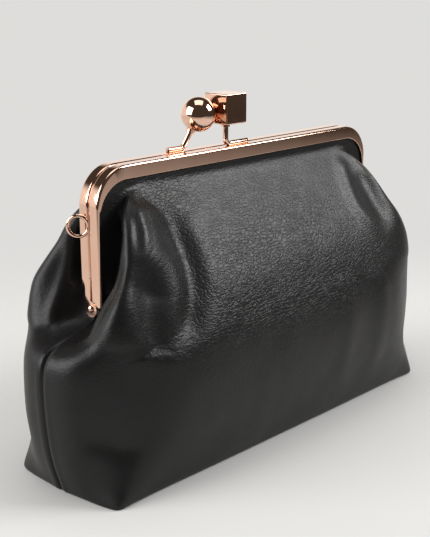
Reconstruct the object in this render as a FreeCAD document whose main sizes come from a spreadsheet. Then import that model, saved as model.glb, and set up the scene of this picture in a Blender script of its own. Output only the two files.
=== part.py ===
"""Kiss lock frame purse: a soft leather bag hung in a hinged two-part metal frame.

Sizes are in millimetres. The origin is the middle of the flat base, X runs along the frame,
Z is up, and the front of the purse faces -Y.
"""
import FreeCAD, Part
import math
import os
import Sketcher

from FreeCAD import Placement, Rotation, Vector

# Driving dimensions: alias, value, meaning
SIZES = [
    ("frame_width", 200.0, "metal frame, outside of one leg to outside of the other"),
    ("frame_top", 146.0, "top face of the frame above the base"),
    ("hinge_height", 82.0, "rivet axis above the base"),
    ("corner_radius", 18.0, "outside corner of the frame"),
    ("channel_depth", 6.5, "flange of the channel along the top, from its outer face to its lip"),
    ("leg_flange", 1.8, "the same flange on the legs"),
    ("lip_corner", 16.0, "inside corner of the lip, from the top to the leg"),
    ("channel_width", 6.2, "one frame half, front to back"),
    ("frame_metal", 0.8, "sheet that the channel is pressed from"),
    ("frame_gap", 0.3, "slit between the two halves when shut"),
    ("edge_round", 1.2, "round of the channel's outer edges"),
    ("lip_round", 0.3, "round of the flange's lip"),
    ("front_leg_tail", 1.6, "end of the front flange above the rivet axis"),
    ("rear_leg_rise", 8.0, "end of the rear channel above the rivet axis"),
    ("neck_width", 3.4, "strip of the rear web that runs down to its ear"),
    ("neck_sweep", 6.0, "radius of the curved cut that narrows the rear web"),
    ("ear_radius", 3.7, "round hinge ear"),
    ("ear_spacing", 0.2, "air between the two ears on one rivet"),
    ("ear_relief", 0.5, "air round the rear ear in the front half's web"),
    ("ear_root", 12.0, "front ear's tongue, length above the rivet axis"),
    ("rivet_radius", 1.25, "shank of the hinge rivet"),
    ("rivet_head_radius", 2.1, "domed head of the rivet"),
    ("rivet_head_height", 1.3, "height of the dome"),
    ("rivet_tail_height", 0.8, "peened tail inside the frame"),
    ("running_clearance", 0.15, "radial play of the front ear on the rivet"),
    ("wire_radius", 1.4, "round wire of the two clasp stems"),
    ("wire_bend", 2.6, "bend of the stem, on the wire's middle line"),
    ("foot_flat", 0.3, "flat filed under the stem's foot where it is soldered"),
    ("collar_radius", 2.2, "collar between stem and knob"),
    ("collar_length", 1.8, "length of that collar"),
    ("stem_play", 0.03, "room for solder round a stem in its collar and knob"),
    ("stem_socket", 4.0, "depth of the stem in its knob"),
    ("ball_diameter", 16.8, "round knob"),
    ("ball_x", -29.3, "middle of the ball along the frame"),
    ("ball_lift", 16.7, "middle of the ball above the frame's top"),
    ("ball_lean", 7.6, "lean of the ball's stem along the frame"),
    ("ball_foot", 10.0, "soldered foot of the ball's stem"),
    ("cube_edge", 14.5, "square knob"),
    ("cube_round", 0.5, "softened edges of the square knob"),
    ("cube_x", -13.5, "middle of the cube along the frame"),
    ("cube_lift", 11.5, "underside of the cube above the frame's top"),
    ("cube_foot", 15.5, "soldered foot of the cube's stem"),
    ("loop_inner_radius", 3.7, "strap loop, inside"),
    ("loop_wire", 1.8, "strap loop, wire diameter"),
    ("loop_height", 120.0, "strap loop's middle above the base"),
    ("loop_reach", 2.4, "strap loop's middle outside the leg"),
    ("loop_setback", 4.0, "strap loop's middle behind the slit"),
    ("loop_turn", 47.0, "turn of the strap loop's plane out of the frame's plane"),
    ("bag_length", 258.0, "side seam to side seam at the fullest"),
    ("belly_depth", 91.0, "front to back at the fullest"),
    ("base_tuck", 13.5, "base's corner in from the side seam's fullest place"),
    ("base_depth", 67.4, "base, corner to corner along the side"),
    ("base_bow", 5.5, "outward bow of the base's short ends"),
    ("base_corner", 4.5, "round of the base's corners"),
    ("leather_thickness", 1.2, "outer leather"),
    ("lining_thickness", 0.8, "lining cloth with its paper backing"),
    ("board_thickness", 1.8, "stiffener board in the base"),
    ("soft_clearance", 0.3, "air between soft pieces and their neighbours"),
]

doc = FreeCAD.newDocument("KissLockPurse")
sheet = doc.addObject("Spreadsheet::Sheet", "Sizes")
for row, (alias, number, meaning) in enumerate(SIZES, start=1):
    sheet.set(f"A{row}", meaning)
    sheet.set(f"B{row}", str(number))
    sheet.setAlias(f"B{row}", alias)
doc.recompute()


# Points of the net that the leather and lining are drawn on, up and across a wall, and the
# number of faces that a wall is divided into across
NET_ROWS, NET_COLUMNS = 33, 45
WALL_FACES = 10


def num(expression):
    """Value of an expression on the sheet, in millimetres or degrees."""
    result = sheet.evalExpression(expression)
    return float(getattr(result, "Value", result))


# Lines that several pieces share, as expressions on the sheet
HALF_WIDTH = "(Sizes.frame_width / 2)"
TOP = "Sizes.frame_top"
HINGE = "Sizes.hinge_height"
DEPTH = "Sizes.channel_depth"
LEG_FLANGE = "Sizes.leg_flange"
METAL = "Sizes.frame_metal"
CORNER = "Sizes.corner_radius"
HALF_GAP = "(Sizes.frame_gap / 2)"
OUTER_FACE = f"({HALF_GAP} + Sizes.channel_width)"
MID_CHANNEL = f"({HALF_GAP} + Sizes.channel_width / 2)"
SOFT = "Sizes.soft_clearance"
LEATHER_FACE = f"({OUTER_FACE} - {METAL} - {SOFT})"
LINING_FACE = f"({LEATHER_FACE} - Sizes.leather_thickness - {SOFT})"
CHANNEL_INSET = f"({METAL} + {SOFT})"
STRIP_LOW = f"({TOP} - {DEPTH} - 5 * {SOFT})"
STRIP_HIGH = f"({TOP} - {CHANNEL_INSET} - 2 * {SOFT})"
CORD_SPACE = f"({LINING_FACE} - Sizes.lining_thickness - {SOFT})"
CORD_RADIUS = f"(({CORD_SPACE} - {HALF_GAP} - {METAL} - {SOFT} / 2) / 2)"
REAR_EAR_IN = f"({HALF_WIDTH} - {METAL})"
FRONT_EAR_OUT = f"({REAR_EAR_IN} - Sizes.ear_spacing)"
FRONT_EAR_IN = f"({FRONT_EAR_OUT} - {METAL})"
FOOT_RISE = "(Sizes.wire_radius - Sizes.foot_flat)"
STEM_BORE = "(Sizes.wire_radius + Sizes.stem_play)"
BALL_RADIUS = "(Sizes.ball_diameter / 2)"
BALL_FLAT = f"sqrt({BALL_RADIUS} ^ 2 - Sizes.collar_radius ^ 2)"
END_PLAY = "(Sizes.soft_clearance / 2)"
BASE_CORNER_X = "(Sizes.bag_length / 2 - Sizes.base_tuck)"


def new_body(name):
    """A body whose label names its piece."""
    body = doc.addObject("PartDesign::Body", name)
    body.Label = name
    return body


def origin_plane(body, role):
    return next(item for item in body.Origin.OriginFeatures if item.Role == role)


def new_sketch(body, role, offset="0"):
    """A sketch on one of the body's own planes, moved along that plane's normal."""
    sketch = body.newObject("Sketcher::SketchObject", f"{body.Name}_sketch")
    sketch.AttachmentSupport = [(origin_plane(body, role), "")]
    sketch.MapMode = "FlatFace"
    sketch.setExpression("AttachmentOffset.Base.z", offset)
    return sketch


def fix(sketch, kind, geometry, point, expression):
    """Hold one coordinate of a point at an expression, measured from the sketch's origin."""
    if expression == "0":
        axis = -2 if kind == "DistanceX" else -1
        sketch.addConstraint(Sketcher.Constraint("PointOnObject", geometry, point, axis))
        return
    number = num(expression)
    if number < 0:
        index = sketch.addConstraint(Sketcher.Constraint(kind, geometry, point, -1, 1, -number))
        sketch.setExpression(f"Constraints[{index}]", f"-({expression})")
    else:
        index = sketch.addConstraint(Sketcher.Constraint(kind, -1, 1, geometry, point, number))
        sketch.setExpression(f"Constraints[{index}]", expression)


def fix_point(sketch, geometry, point, across, up):
    fix(sketch, "DistanceX", geometry, point, across)
    fix(sketch, "DistanceY", geometry, point, up)


def fix_radius(sketch, geometry, expression):
    index = sketch.addConstraint(Sketcher.Constraint("Radius", geometry, num(expression)))
    sketch.setExpression(f"Constraints[{index}]", expression)


def draw_circle(sketch, across, up, radius):
    circle = Part.Circle(Vector(num(across), num(up), 0), Vector(0, 0, 1), num(radius))
    geometry = sketch.addGeometry(circle)
    fix_point(sketch, geometry, 3, across, up)
    fix_radius(sketch, geometry, radius)


def draw_polygon(sketch, points):
    """Closed outline of straight sides through (across, up) expressions."""
    spots = [Vector(num(across), num(up), 0) for across, up in points]
    lines = []
    for index, spot in enumerate(spots):
        end = spots[(index + 1) % len(spots)]
        lines.append(sketch.addGeometry(Part.LineSegment(spot, end)))
    for index, (across, up) in enumerate(points):
        sketch.addConstraint(Sketcher.Constraint("Coincident", lines[index - 1], 2, lines[index], 1))
        fix_point(sketch, lines[index], 1, across, up)


def draw_square_outline(sketch, corners):
    """Closed outline of level and upright sides; a corner is (across, up, radius or None)."""
    spots = [Vector(num(across), num(up), 0) for across, up, radius in corners]
    count = len(spots)
    arrive = []
    leave = []
    for index, (across, up, radius) in enumerate(corners):
        trim = num(radius) if radius else 0.0
        back = (spots[index - 1] - spots[index]).normalize()
        ahead = (spots[(index + 1) % count] - spots[index]).normalize()
        arrive.append(spots[index] + back * trim)
        leave.append(spots[index] + ahead * trim)
    lines = []
    for index in range(count):
        segment = Part.LineSegment(leave[index], arrive[(index + 1) % count])
        lines.append(sketch.addGeometry(segment))
    for index, (across, up, radius) in enumerate(corners):
        run = spots[(index + 1) % count] - spots[index]
        if abs(run.x) < abs(run.y):
            sketch.addConstraint(Sketcher.Constraint("Vertical", lines[index]))
            fix(sketch, "DistanceX", lines[index], 1, across)
        else:
            sketch.addConstraint(Sketcher.Constraint("Horizontal", lines[index]))
            fix(sketch, "DistanceY", lines[index], 1, up)
    for index, (across, up, radius) in enumerate(corners):
        before, after = lines[index - 1], lines[index]
        if radius:
            join_by_arc(sketch, before, after, arrive[index], leave[index], spots[index], radius)
        else:
            sketch.addConstraint(Sketcher.Constraint("Coincident", before, 2, after, 1))


def join_by_arc(sketch, before, after, arrive, leave, corner, radius):
    """Tangent arc from the end of one line to the start of the next."""
    inward = (arrive - corner).normalize() + (leave - corner).normalize()
    half_turn = (arrive - corner).getAngle(leave - corner) / 2
    centre = corner + inward.normalize() * (num(radius) / math.sin(half_turn))
    first = math.atan2(arrive.y - centre.y, arrive.x - centre.x)
    last = math.atan2(leave.y - centre.y, leave.x - centre.x)
    counterclockwise = (last - first) % (2 * math.pi) < math.pi
    start, stop = (first, last) if counterclockwise else (last, first)
    circle = Part.Circle(centre, Vector(0, 0, 1), num(radius))
    arc = sketch.addGeometry(Part.ArcOfCircle(circle, start, stop))
    near, far = (1, 2) if counterclockwise else (2, 1)
    sketch.addConstraint(Sketcher.Constraint("Tangent", before, 2, arc, near))
    sketch.addConstraint(Sketcher.Constraint("Tangent", arc, far, after, 1))
    fix_radius(sketch, arc, radius)


def add_feature(body, kind, sketch, length, reverse=False, symmetric=False):
    """Pad or pocket of a sketch, with a check that it changed the body's volume."""
    before = body.Shape.Volume if body.Tip else 0.0
    feature = body.newObject(f"PartDesign::{kind}", f"{body.Name}_{kind.lower()}")
    feature.Profile = sketch
    feature.setExpression("Length", length)
    feature.Reversed = reverse
    if symmetric:
        feature.SideType = "Symmetric"
    doc.recompute()
    change = body.Shape.Volume - before
    if (change < 0) != (kind == "Pocket") or abs(change) < 1e-6:
        raise ValueError(f"{feature.Name} changed the volume by {change:.4f}")
    return feature


def add_fillet(body, radius, wanted):
    """Round the body's edges that the wanted test picks by their middle point."""
    base = body.Tip
    edges = []
    for index, edge in enumerate(base.Shape.Edges, start=1):
        middle = edge.valueAt((edge.FirstParameter + edge.LastParameter) / 2)
        if wanted(middle):
            edges.append(f"Edge{index}")
    fillet = body.newObject("PartDesign::Fillet", f"{body.Name}_fillet")
    fillet.Base = (base, edges)
    fillet.setExpression("Radius", radius)
    doc.recompute()
    return fillet


def mirror_to_right(body, features):
    mirror = body.newObject("PartDesign::Mirrored", f"{body.Name}_mirror")
    mirror.Originals = features
    mirror.MirrorPlane = (origin_plane(body, "YZ_Plane"), [""])
    body.Tip = mirror
    doc.recompute()


def u_outline(sketch, inset, past_lip, leg_end):
    """U of the frame, from a line inset from its outer face to a line past the flange's lip."""
    outer = (inset, inset, f"({CORNER} - {inset})", (-1, 1))
    inner = (f"({LEG_FLANGE} + {past_lip})", f"({DEPTH} + {past_lip})", "Sizes.lip_corner", (1, -1))
    corners = []
    for leg_inset, top_inset, radius, order in (outer, inner):
        across = f"({HALF_WIDTH} - {leg_inset})"
        top = f"({TOP} - {top_inset})"
        legs = [(f"{side} * {across}", leg_end, None) for side in order]
        tops = [(f"{side} * {across}", top, radius) for side in order]
        corners += [legs[0], tops[0], tops[1], legs[1]]
    draw_square_outline(sketch, corners)


def channel_body(name, front, leg_end):
    """Pressed U channel of one frame half, with rounded outer edges and an open inner side."""
    sign = "1" if front else "-1"
    body = new_body(name)
    band = new_sketch(body, "XZ_Plane", f"{sign} * {HALF_GAP}")
    u_outline(band, "0", "0", leg_end)
    add_feature(body, "Pad", band, "Sizes.channel_width", reverse=not front)
    half, top = num(HALF_WIDTH), num(TOP)
    radius, face = num(CORNER), num(OUTER_FACE)

    def distance_in(point):
        """How far a point lies inside the frame's outer U line."""
        legs = half - abs(point.x)
        beam = top - point.z
        if legs < radius and beam < radius:
            return radius - math.hypot(radius - legs, radius - beam)
        return min(legs, beam)

    def along_outer_edge(point):
        return abs(distance_in(point)) < 0.01 and point.z > num(leg_end) + 1
    add_fillet(body, "Sizes.edge_round", along_outer_edge)

    def along_show_lip(point):
        inside = distance_in(point) > num("Sizes.edge_round") + 0.01
        return inside and abs(abs(point.y) - face) < 0.01 and point.z > num(leg_end) + 1
    add_fillet(body, "Sizes.lip_round", along_show_lip)
    groove = new_sketch(body, "XZ_Plane", f"{sign} * {MID_CHANNEL}")
    u_outline(groove, METAL, METAL, f"({leg_end} - {METAL})")
    add_feature(body, "Pocket", groove, f"Sizes.channel_width - 2 * {METAL}", symmetric=True)
    return body


def front_frame():
    """Front half: its legs carry inner ears that turn on the rivets."""
    leg_end = f"({HINGE} + Sizes.front_leg_tail)"
    body = channel_body("front_frame", True, leg_end)
    past_lip = f"-({HALF_WIDTH} - {LEG_FLANGE} - {METAL})"
    relief = new_sketch(body, "YZ_Plane", past_lip)
    draw_circle(relief, "0", HINGE, "Sizes.ear_radius + Sizes.ear_relief")
    features = [add_feature(body, "Pocket", relief, f"{LEG_FLANGE} + 2 * {METAL}")]
    tongue = new_sketch(body, "YZ_Plane", f"-{FRONT_EAR_OUT}")
    outer, inner = f"-({OUTER_FACE} - {METAL} / 2)", f"-({HALF_GAP} + {METAL} / 2)"
    below, above = f"{leg_end} + {METAL} / 4", f"{HINGE} + Sizes.ear_root"
    draw_polygon(tongue, [(outer, below), (inner, below), (inner, above), (outer, above)])
    features.append(add_feature(body, "Pad", tongue, METAL))
    ear = new_sketch(body, "YZ_Plane", f"-{FRONT_EAR_OUT}")
    draw_circle(ear, "0", HINGE, "Sizes.ear_radius")
    features.append(add_feature(body, "Pad", ear, METAL))
    hole = new_sketch(body, "YZ_Plane", past_lip)
    draw_circle(hole, "0", HINGE, "Sizes.rivet_radius + Sizes.running_clearance")
    features.append(add_feature(body, "Pocket", hole, f"{LEG_FLANGE} + 2 * {METAL}"))
    mirror_to_right(body, features)
    return body


def rear_frame():
    """Rear half: its web narrows to a strip that ends in the outer hinge ear."""
    leg_end = f"({HINGE} + Sizes.rear_leg_rise)"
    body = channel_body("rear_frame", False, leg_end)
    sweep = new_sketch(body, "YZ_Plane", f"-{REAR_EAR_IN}")
    centre = "Sizes.neck_width + Sizes.neck_sweep"
    draw_circle(sweep, centre, f"{leg_end} + {METAL}", "Sizes.neck_sweep")
    features = [add_feature(body, "Pocket", sweep, f"2 * {METAL}")]
    strip = new_sketch(body, "YZ_Plane", f"-{HALF_WIDTH}")
    near, far = HALF_GAP, "Sizes.neck_width"
    above = f"{leg_end} + Sizes.neck_sweep"
    draw_polygon(strip, [(near, HINGE), (far, HINGE), (far, above), (near, above)])
    features.append(add_feature(body, "Pad", strip, METAL))
    ear = new_sketch(body, "YZ_Plane", f"-{HALF_WIDTH}")
    draw_circle(ear, "0", HINGE, "Sizes.ear_radius")
    features.append(add_feature(body, "Pad", ear, METAL))
    hole = new_sketch(body, "YZ_Plane", f"-{REAR_EAR_IN}")
    draw_circle(hole, "0", HINGE, "Sizes.rivet_radius")
    features.append(add_feature(body, "Pocket", hole, f"2 * {METAL}"))
    mirror_to_right(body, features)
    return body


def hinge_rivet(name, side):
    """Domed rivet, tight in the rear ear, with a peened tail inside the front ear."""
    body = new_body(name)
    profile = new_sketch(body, "XZ_Plane")
    profile.setExpression("AttachmentOffset.Base.y", HINGE)
    face = f"{side} * {HALF_WIDTH}"
    crown = f"{side} * ({HALF_WIDTH} + Sizes.rivet_head_height)"
    tail_face = f"{side} * ({FRONT_EAR_IN} - {END_PLAY})"
    tail_end = f"{side} * ({FRONT_EAR_IN} - {END_PLAY} - Sizes.rivet_tail_height)"
    shank, head = "Sizes.rivet_radius", "Sizes.rivet_head_radius"
    tail = f"({shank} + {head}) / 2"
    corners = [(face, head), (face, shank), (tail_face, shank), (tail_face, tail),
               (tail_end, tail), (tail_end, "0"), (crown, "0")]
    spots = [Vector(num(across), num(up), 0) for across, up in corners]
    lines = []
    for start, end in zip(spots, spots[1:]):
        lines.append(profile.addGeometry(Part.LineSegment(start, end)))
    for index, line in enumerate(lines[1:], start=1):
        profile.addConstraint(Sketcher.Constraint("Coincident", lines[index - 1], 2, line, 1))
    for line, (across, up) in zip(lines, corners):
        fix_point(profile, line, 1, across, up)
    fix_point(profile, lines[-1], 2, *corners[-1])
    # The dome is an arc from the crown to the head's rim
    dome = f"(({head}) ^ 2 + Sizes.rivet_head_height ^ 2) / (2 * Sizes.rivet_head_height)"
    centre = spots[-1] - Vector(side * num(dome), 0, 0)
    rim = math.atan2(spots[0].y, spots[0].x - centre.x)
    start, stop = (0.0, rim) if side > 0 else (rim, math.pi)
    circle = Part.Circle(centre, Vector(0, 0, 1), num(dome))
    arc = profile.addGeometry(Part.ArcOfCircle(circle, start, stop))
    at_crown, at_rim = (1, 2) if side > 0 else (2, 1)
    profile.addConstraint(Sketcher.Constraint("Coincident", lines[-1], 2, arc, at_crown))
    profile.addConstraint(Sketcher.Constraint("Coincident", lines[0], 1, arc, at_rim))
    profile.addConstraint(Sketcher.Constraint("PointOnObject", arc, 3, -1))
    turned = body.newObject("PartDesign::Revolution", f"{name}_turned")
    turned.Profile = profile
    turned.ReferenceAxis = (profile, ["H_Axis"])
    turned.Angle = 360
    doc.recompute()
    return body


def clasp_stem(name, foot_y, foot_end, bend_x, tip_x, tip_rise, tilt):
    """Bent wire: a foot soldered along the frame's top, then a post up to its knob."""
    body = new_body(name)
    path = new_sketch(body, "XZ_Plane", f"-({foot_y})")
    path.AttachmentOffset = Placement(Vector(0, 0, 0), Rotation(Vector(1, 0, 0), tilt))
    path.setExpression("AttachmentOffset.Base.z", f"-({foot_y})")
    path.setExpression("AttachmentOffset.Base.y", f"{TOP} + {FOOT_RISE}")
    start = Vector(num(foot_end), 0, 0)
    bend = Vector(num(bend_x), 0, 0)
    tip = Vector(num(tip_x), num(tip_rise), 0)
    back = (start - bend).normalize()
    ahead = (tip - bend).normalize()
    half_turn = back.getAngle(ahead) / 2
    trim = num("Sizes.wire_bend") / math.tan(half_turn)
    foot = path.addGeometry(Part.LineSegment(start, bend + back * trim))
    post = path.addGeometry(Part.LineSegment(bend + ahead * trim, tip))
    fix_point(path, foot, 1, foot_end, "0")
    path.addConstraint(Sketcher.Constraint("Horizontal", foot))
    join_by_arc(path, foot, post, bend + back * trim, bend + ahead * trim, bend, "Sizes.wire_bend")
    fix_point(path, post, 2, tip_x, tip_rise)
    corner = path.addGeometry(Part.Point(bend), True)
    fix_point(path, corner, 1, bend_x, "0")
    path.addConstraint(Sketcher.Constraint("PointOnObject", corner, 1, post))
    section = new_sketch(body, "YZ_Plane", foot_end)
    draw_circle(section, foot_y, f"{TOP} + {FOOT_RISE}", "Sizes.wire_radius")
    doc.recompute()
    wire = body.newObject("PartDesign::AdditivePipe", f"{name}_wire")
    wire.Profile = section
    wire.Spine = path
    doc.recompute()
    flat = new_sketch(body, "XY_Plane", TOP)
    reach = "Sizes.wire_radius"
    near, far = f"({foot_y}) - {reach}", f"({foot_y}) + {reach}"
    direction = "1" if num(foot_end) > num(bend_x) else "-1"
    past_bend = f"({bend_x}) - {direction} * 2 * Sizes.wire_bend"
    past_foot = f"({foot_end}) + {direction} * {reach}"
    draw_polygon(flat, [(past_bend, near), (past_foot, near), (past_foot, far), (past_bend, far)])
    add_feature(body, "Pocket", flat, "Sizes.wire_radius")
    return body


def collar(name, place):
    """Short turned ring between a stem and the face of its knob."""
    body = new_body(name)
    ring = new_sketch(body, "XY_Plane", "-Sizes.collar_length")
    draw_circle(ring, "0", "0", "Sizes.collar_radius")
    draw_circle(ring, "0", "0", STEM_BORE)
    add_feature(body, "Pad", ring, "Sizes.collar_length")
    body.Placement = place
    return body


def ball_knob(place):
    """Turned ball with a small seat for its collar and a socket for its stem."""
    body = new_body("ball_knob")
    profile = new_sketch(body, "XZ_Plane")
    seat = f"-{BALL_FLAT}"
    socket_end = f"(Sizes.stem_socket - {BALL_FLAT})"
    corners = [("Sizes.collar_radius", seat), (STEM_BORE, seat), (STEM_BORE, socket_end), ("0", socket_end),
               ("0", BALL_RADIUS)]
    spots = [Vector(num(across), num(up), 0) for across, up in corners]
    lines = []
    for start, end in zip(spots, spots[1:]):
        lines.append(profile.addGeometry(Part.LineSegment(start, end)))
    for index, line in enumerate(lines[1:], start=1):
        profile.addConstraint(Sketcher.Constraint("Coincident", lines[index - 1], 2, line, 1))
    for line, (across, up) in zip(lines, corners):
        fix_point(profile, line, 1, across, up)
    fix_point(profile, lines[-1], 2, *corners[-1])
    rim = math.atan2(spots[0].y, spots[0].x)
    circle = Part.Circle(Vector(0, 0, 0), Vector(0, 0, 1), num(BALL_RADIUS))
    arc = profile.addGeometry(Part.ArcOfCircle(circle, rim, math.pi / 2))
    profile.addConstraint(Sketcher.Constraint("Coincident", lines[0], 1, arc, 1))
    profile.addConstraint(Sketcher.Constraint("Coincident", lines[-1], 2, arc, 2))
    profile.addConstraint(Sketcher.Constraint("PointOnObject", arc, 3, -2))
    turned = body.newObject("PartDesign::Revolution", "ball_knob_turned")
    turned.Profile = profile
    turned.ReferenceAxis = (profile, ["V_Axis"])
    turned.Angle = 360
    doc.recompute()
    body.Placement = place
    return body


def cube_knob(place):
    """Square knob with softened edges and a socket for its stem."""
    body = new_body("cube_knob")
    base = new_sketch(body, "XY_Plane")
    half = "(Sizes.cube_edge / 2)"
    corners = [(f"-{half}", f"-{half}"), (half, f"-{half}"), (half, half), (f"-{half}", half)]
    draw_polygon(base, corners)
    add_feature(body, "Pad", base, "Sizes.cube_edge")
    add_fillet(body, "Sizes.cube_round", lambda middle: True)
    bore = new_sketch(body, "XY_Plane")
    draw_circle(bore, "0", "0", STEM_BORE)
    add_feature(body, "Pocket", bore, "Sizes.stem_socket", reverse=True)
    body.Placement = place
    return body


def clasp():
    """The two knobs that snap past each other, on stems soldered to the two halves."""
    foot = num(MID_CHANNEL)
    top, rise = num(TOP), num(FOOT_RISE)
    # Ball, on the rear half: its stem leans along the frame and forward over the slit
    lean = num("Sizes.ball_lean")
    height = num("Sizes.ball_lift") - rise
    slope = math.hypot(foot, height)
    tilt = math.degrees(math.atan2(foot, height))
    to_ball = Vector(lean, -foot, height).normalize()
    middle = Vector(num("Sizes.ball_x"), 0, top + num("Sizes.ball_lift"))
    turn = Rotation(Vector(0, 0, 1), to_ball)
    bend = "Sizes.ball_x - Sizes.ball_lean"
    slope_term = f"sqrt({MID_CHANNEL} ^ 2 + (Sizes.ball_lift - {FOOT_RISE}) ^ 2)"
    length_term = f"sqrt(Sizes.ball_lean ^ 2 + {slope_term} ^ 2)"
    share = f"(1 - ({BALL_FLAT} - Sizes.stem_socket + {END_PLAY}) / {length_term})"
    clasp_stem("ball_stem", MID_CHANNEL, f"{bend} - Sizes.ball_foot", bend,
               f"{bend} + Sizes.ball_lean * {share}", f"{slope_term} * {share}", tilt)
    collar("ball_collar", Placement(middle - to_ball * num(BALL_FLAT), turn))
    ball_knob(Placement(middle, turn))
    # Cube, on the front half: its stem stands straight
    seat = Vector(num("Sizes.cube_x"), -foot, top + num("Sizes.cube_lift"))
    clasp_stem("cube_stem", f"-{MID_CHANNEL}", "Sizes.cube_x + Sizes.cube_foot", "Sizes.cube_x",
               "Sizes.cube_x", f"Sizes.cube_lift - {FOOT_RISE} + Sizes.stem_socket - {END_PLAY}", 0)
    upright = Rotation()
    collar("cube_collar", Placement(seat, upright))
    cube_knob(Placement(seat, upright))


def strap_loop(name, side):
    """Wire loop whose two ends are soldered to the rear half's leg."""
    ring = doc.addObject("Part::Torus", f"{name}_ring")
    ring.setExpression("Radius1", "Sizes.loop_inner_radius + Sizes.loop_wire / 2")
    ring.setExpression("Radius2", "Sizes.loop_wire / 2")
    turn = Rotation(Vector(0, 0, 1), -side * (90 - num("Sizes.loop_turn")))
    reach = num(HALF_WIDTH) + num("Sizes.loop_reach")
    middle = Vector(side * reach, num("Sizes.loop_setback"), num("Sizes.loop_height"))
    ring.Placement = Placement(middle, turn * Rotation(Vector(0, 1, 0), 90))
    leg = doc.addObject("Part::Box", f"{name}_leg")
    size = "4 * (Sizes.loop_inner_radius + Sizes.loop_wire)"
    for dimension in ("Length", "Width", "Height"):
        leg.setExpression(dimension, size)
    span = num(size)
    left = -num(HALF_WIDTH) if side < 0 else num(HALF_WIDTH) - span
    leg.Placement = Placement(Vector(left, middle.y - span / 2, middle.z - span / 2), Rotation())
    loop = doc.addObject("Part::Cut", name)
    loop.Base = ring
    loop.Tool = leg
    loop.Label = name
    doc.recompute()
    return loop


def channel_cord(name, front):
    """Paper cord that wedges leather and lining in one channel."""
    body = new_body(name)
    sign = "1" if front else "-1"
    depth = f"({CORD_SPACE} - {CORD_RADIUS})"
    inset = f"({METAL} + {SOFT} + {CORD_RADIUS})"
    leg_end = f"({TOP} - {CORNER} - {CORD_RADIUS})"
    path = new_sketch(body, "XZ_Plane", f"{sign} * {depth}")
    across, top = f"({HALF_WIDTH} - {inset})", f"({TOP} - {inset})"
    radius = f"({CORNER} - {inset})"
    x, z, r = num(across), num(top), num(radius)
    left_leg = Part.LineSegment(Vector(-x, num(leg_end), 0), Vector(-x, z - r, 0))
    beam = Part.LineSegment(Vector(r - x, z, 0), Vector(x - r, z, 0))
    right_leg = Part.LineSegment(Vector(x, z - r, 0), Vector(x, num(leg_end), 0))
    legs = [path.addGeometry(line) for line in (left_leg, beam, right_leg)]
    path.addConstraint(Sketcher.Constraint("Vertical", legs[0]))
    path.addConstraint(Sketcher.Constraint("Horizontal", legs[1]))
    path.addConstraint(Sketcher.Constraint("Vertical", legs[2]))
    fix_point(path, legs[0], 1, f"-{across}", leg_end)
    fix(path, "DistanceY", legs[1], 1, top)
    fix_point(path, legs[2], 2, across, leg_end)
    corners = (Vector(-x, z, 0), Vector(x, z, 0))
    join_by_arc(path, legs[0], legs[1], corners[0] - Vector(0, r, 0), corners[0] + Vector(r, 0, 0),
                corners[0], radius)
    join_by_arc(path, legs[1], legs[2], corners[1] - Vector(r, 0, 0), corners[1] - Vector(0, r, 0),
                corners[1], radius)
    section = new_sketch(body, "XY_Plane", leg_end)
    draw_circle(section, f"-{across}", f"-{sign} * {depth}", CORD_RADIUS)
    doc.recompute()
    cord = body.newObject("PartDesign::AdditivePipe", f"{name}_pipe")
    cord.Profile = section
    cord.Spine = path
    doc.recompute()
    return body


def base_plate(name, inset, below, thickness):
    """Flat piece of the base: straight long sides, bowed short ends and rounded corners."""
    body = new_body(name)
    sketch = new_sketch(body, "XY_Plane", below)
    half_length = f"({BASE_CORNER_X} - ({inset}))"
    half_depth = f"(Sizes.base_depth / 2 - ({inset}))"
    radius = f"({half_depth} ^ 2 + Sizes.base_bow ^ 2) / (2 * Sizes.base_bow)"
    x, y, r = num(half_length), num(half_depth), num(radius)
    front = sketch.addGeometry(Part.LineSegment(Vector(-x, -y, 0), Vector(x, -y, 0)))
    rear = sketch.addGeometry(Part.LineSegment(Vector(x, y, 0), Vector(-x, y, 0)))
    swing = math.asin(y / r)
    right_centre = Vector(x + num("Sizes.base_bow") - r, 0, 0)
    ends = []
    for centre, middle in ((right_centre, 0.0), (-right_centre, math.pi)):
        circle = Part.Circle(centre, Vector(0, 0, 1), r)
        ends.append(sketch.addGeometry(Part.ArcOfCircle(circle, middle - swing, middle + swing)))
    order = [front, ends[0], rear, ends[1]]
    for index, geometry in enumerate(order):
        sketch.addConstraint(Sketcher.Constraint("Coincident", order[index - 1], 2, geometry, 1))
    fix_point(sketch, front, 1, f"-{half_length}", f"-{half_depth}")
    fix_point(sketch, front, 2, half_length, f"-{half_depth}")
    fix_point(sketch, rear, 1, half_length, half_depth)
    fix_point(sketch, rear, 2, f"-{half_length}", half_depth)
    for end in ends:
        fix_radius(sketch, end, radius)
    add_feature(body, "Pad", sketch, thickness)
    middle_height = num(below) + num(thickness) / 2
    add_fillet(body, "Sizes.base_corner", lambda middle: abs(middle.z - middle_height) < 0.01)
    return body


def seam_level(height, seam, front, corner, turn):
    """Points of a level below the hinge, from the side seam round the corner to the front."""
    side = corner[0] + 0.7 * (seam - corner[0])
    return height, [(seam, 0.0), (seam, 0.12 * front), (seam - 0.5, 0.3 * front), (side, 0.5 * front),
                    corner, (corner[0] - turn, 0.98 * front), (0.5 * seam, front), (0.0, front)]


def leg_level(height, edge, near, mouth, fold, side, turn, front):
    """Points of a level beside the frame's leg: from the leg, round a fold, to the front."""
    corner = (side[0] - turn, front)
    return height, [edge, near, mouth, fold, side, corner, (0.55 * corner[0], front), (0.0, front)]


def channel_edge(height):
    """Half width of a panel in the channel, whose upper corners follow those of the frame."""
    half, corner, top = num(HALF_WIDTH), num(CORNER), num(TOP)
    radius = corner - num(CHANNEL_INSET)
    drop = max(height - (top - corner), 0.0)
    return half - corner + math.sqrt(max(radius ** 2 - drop ** 2, 0.0))


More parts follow.
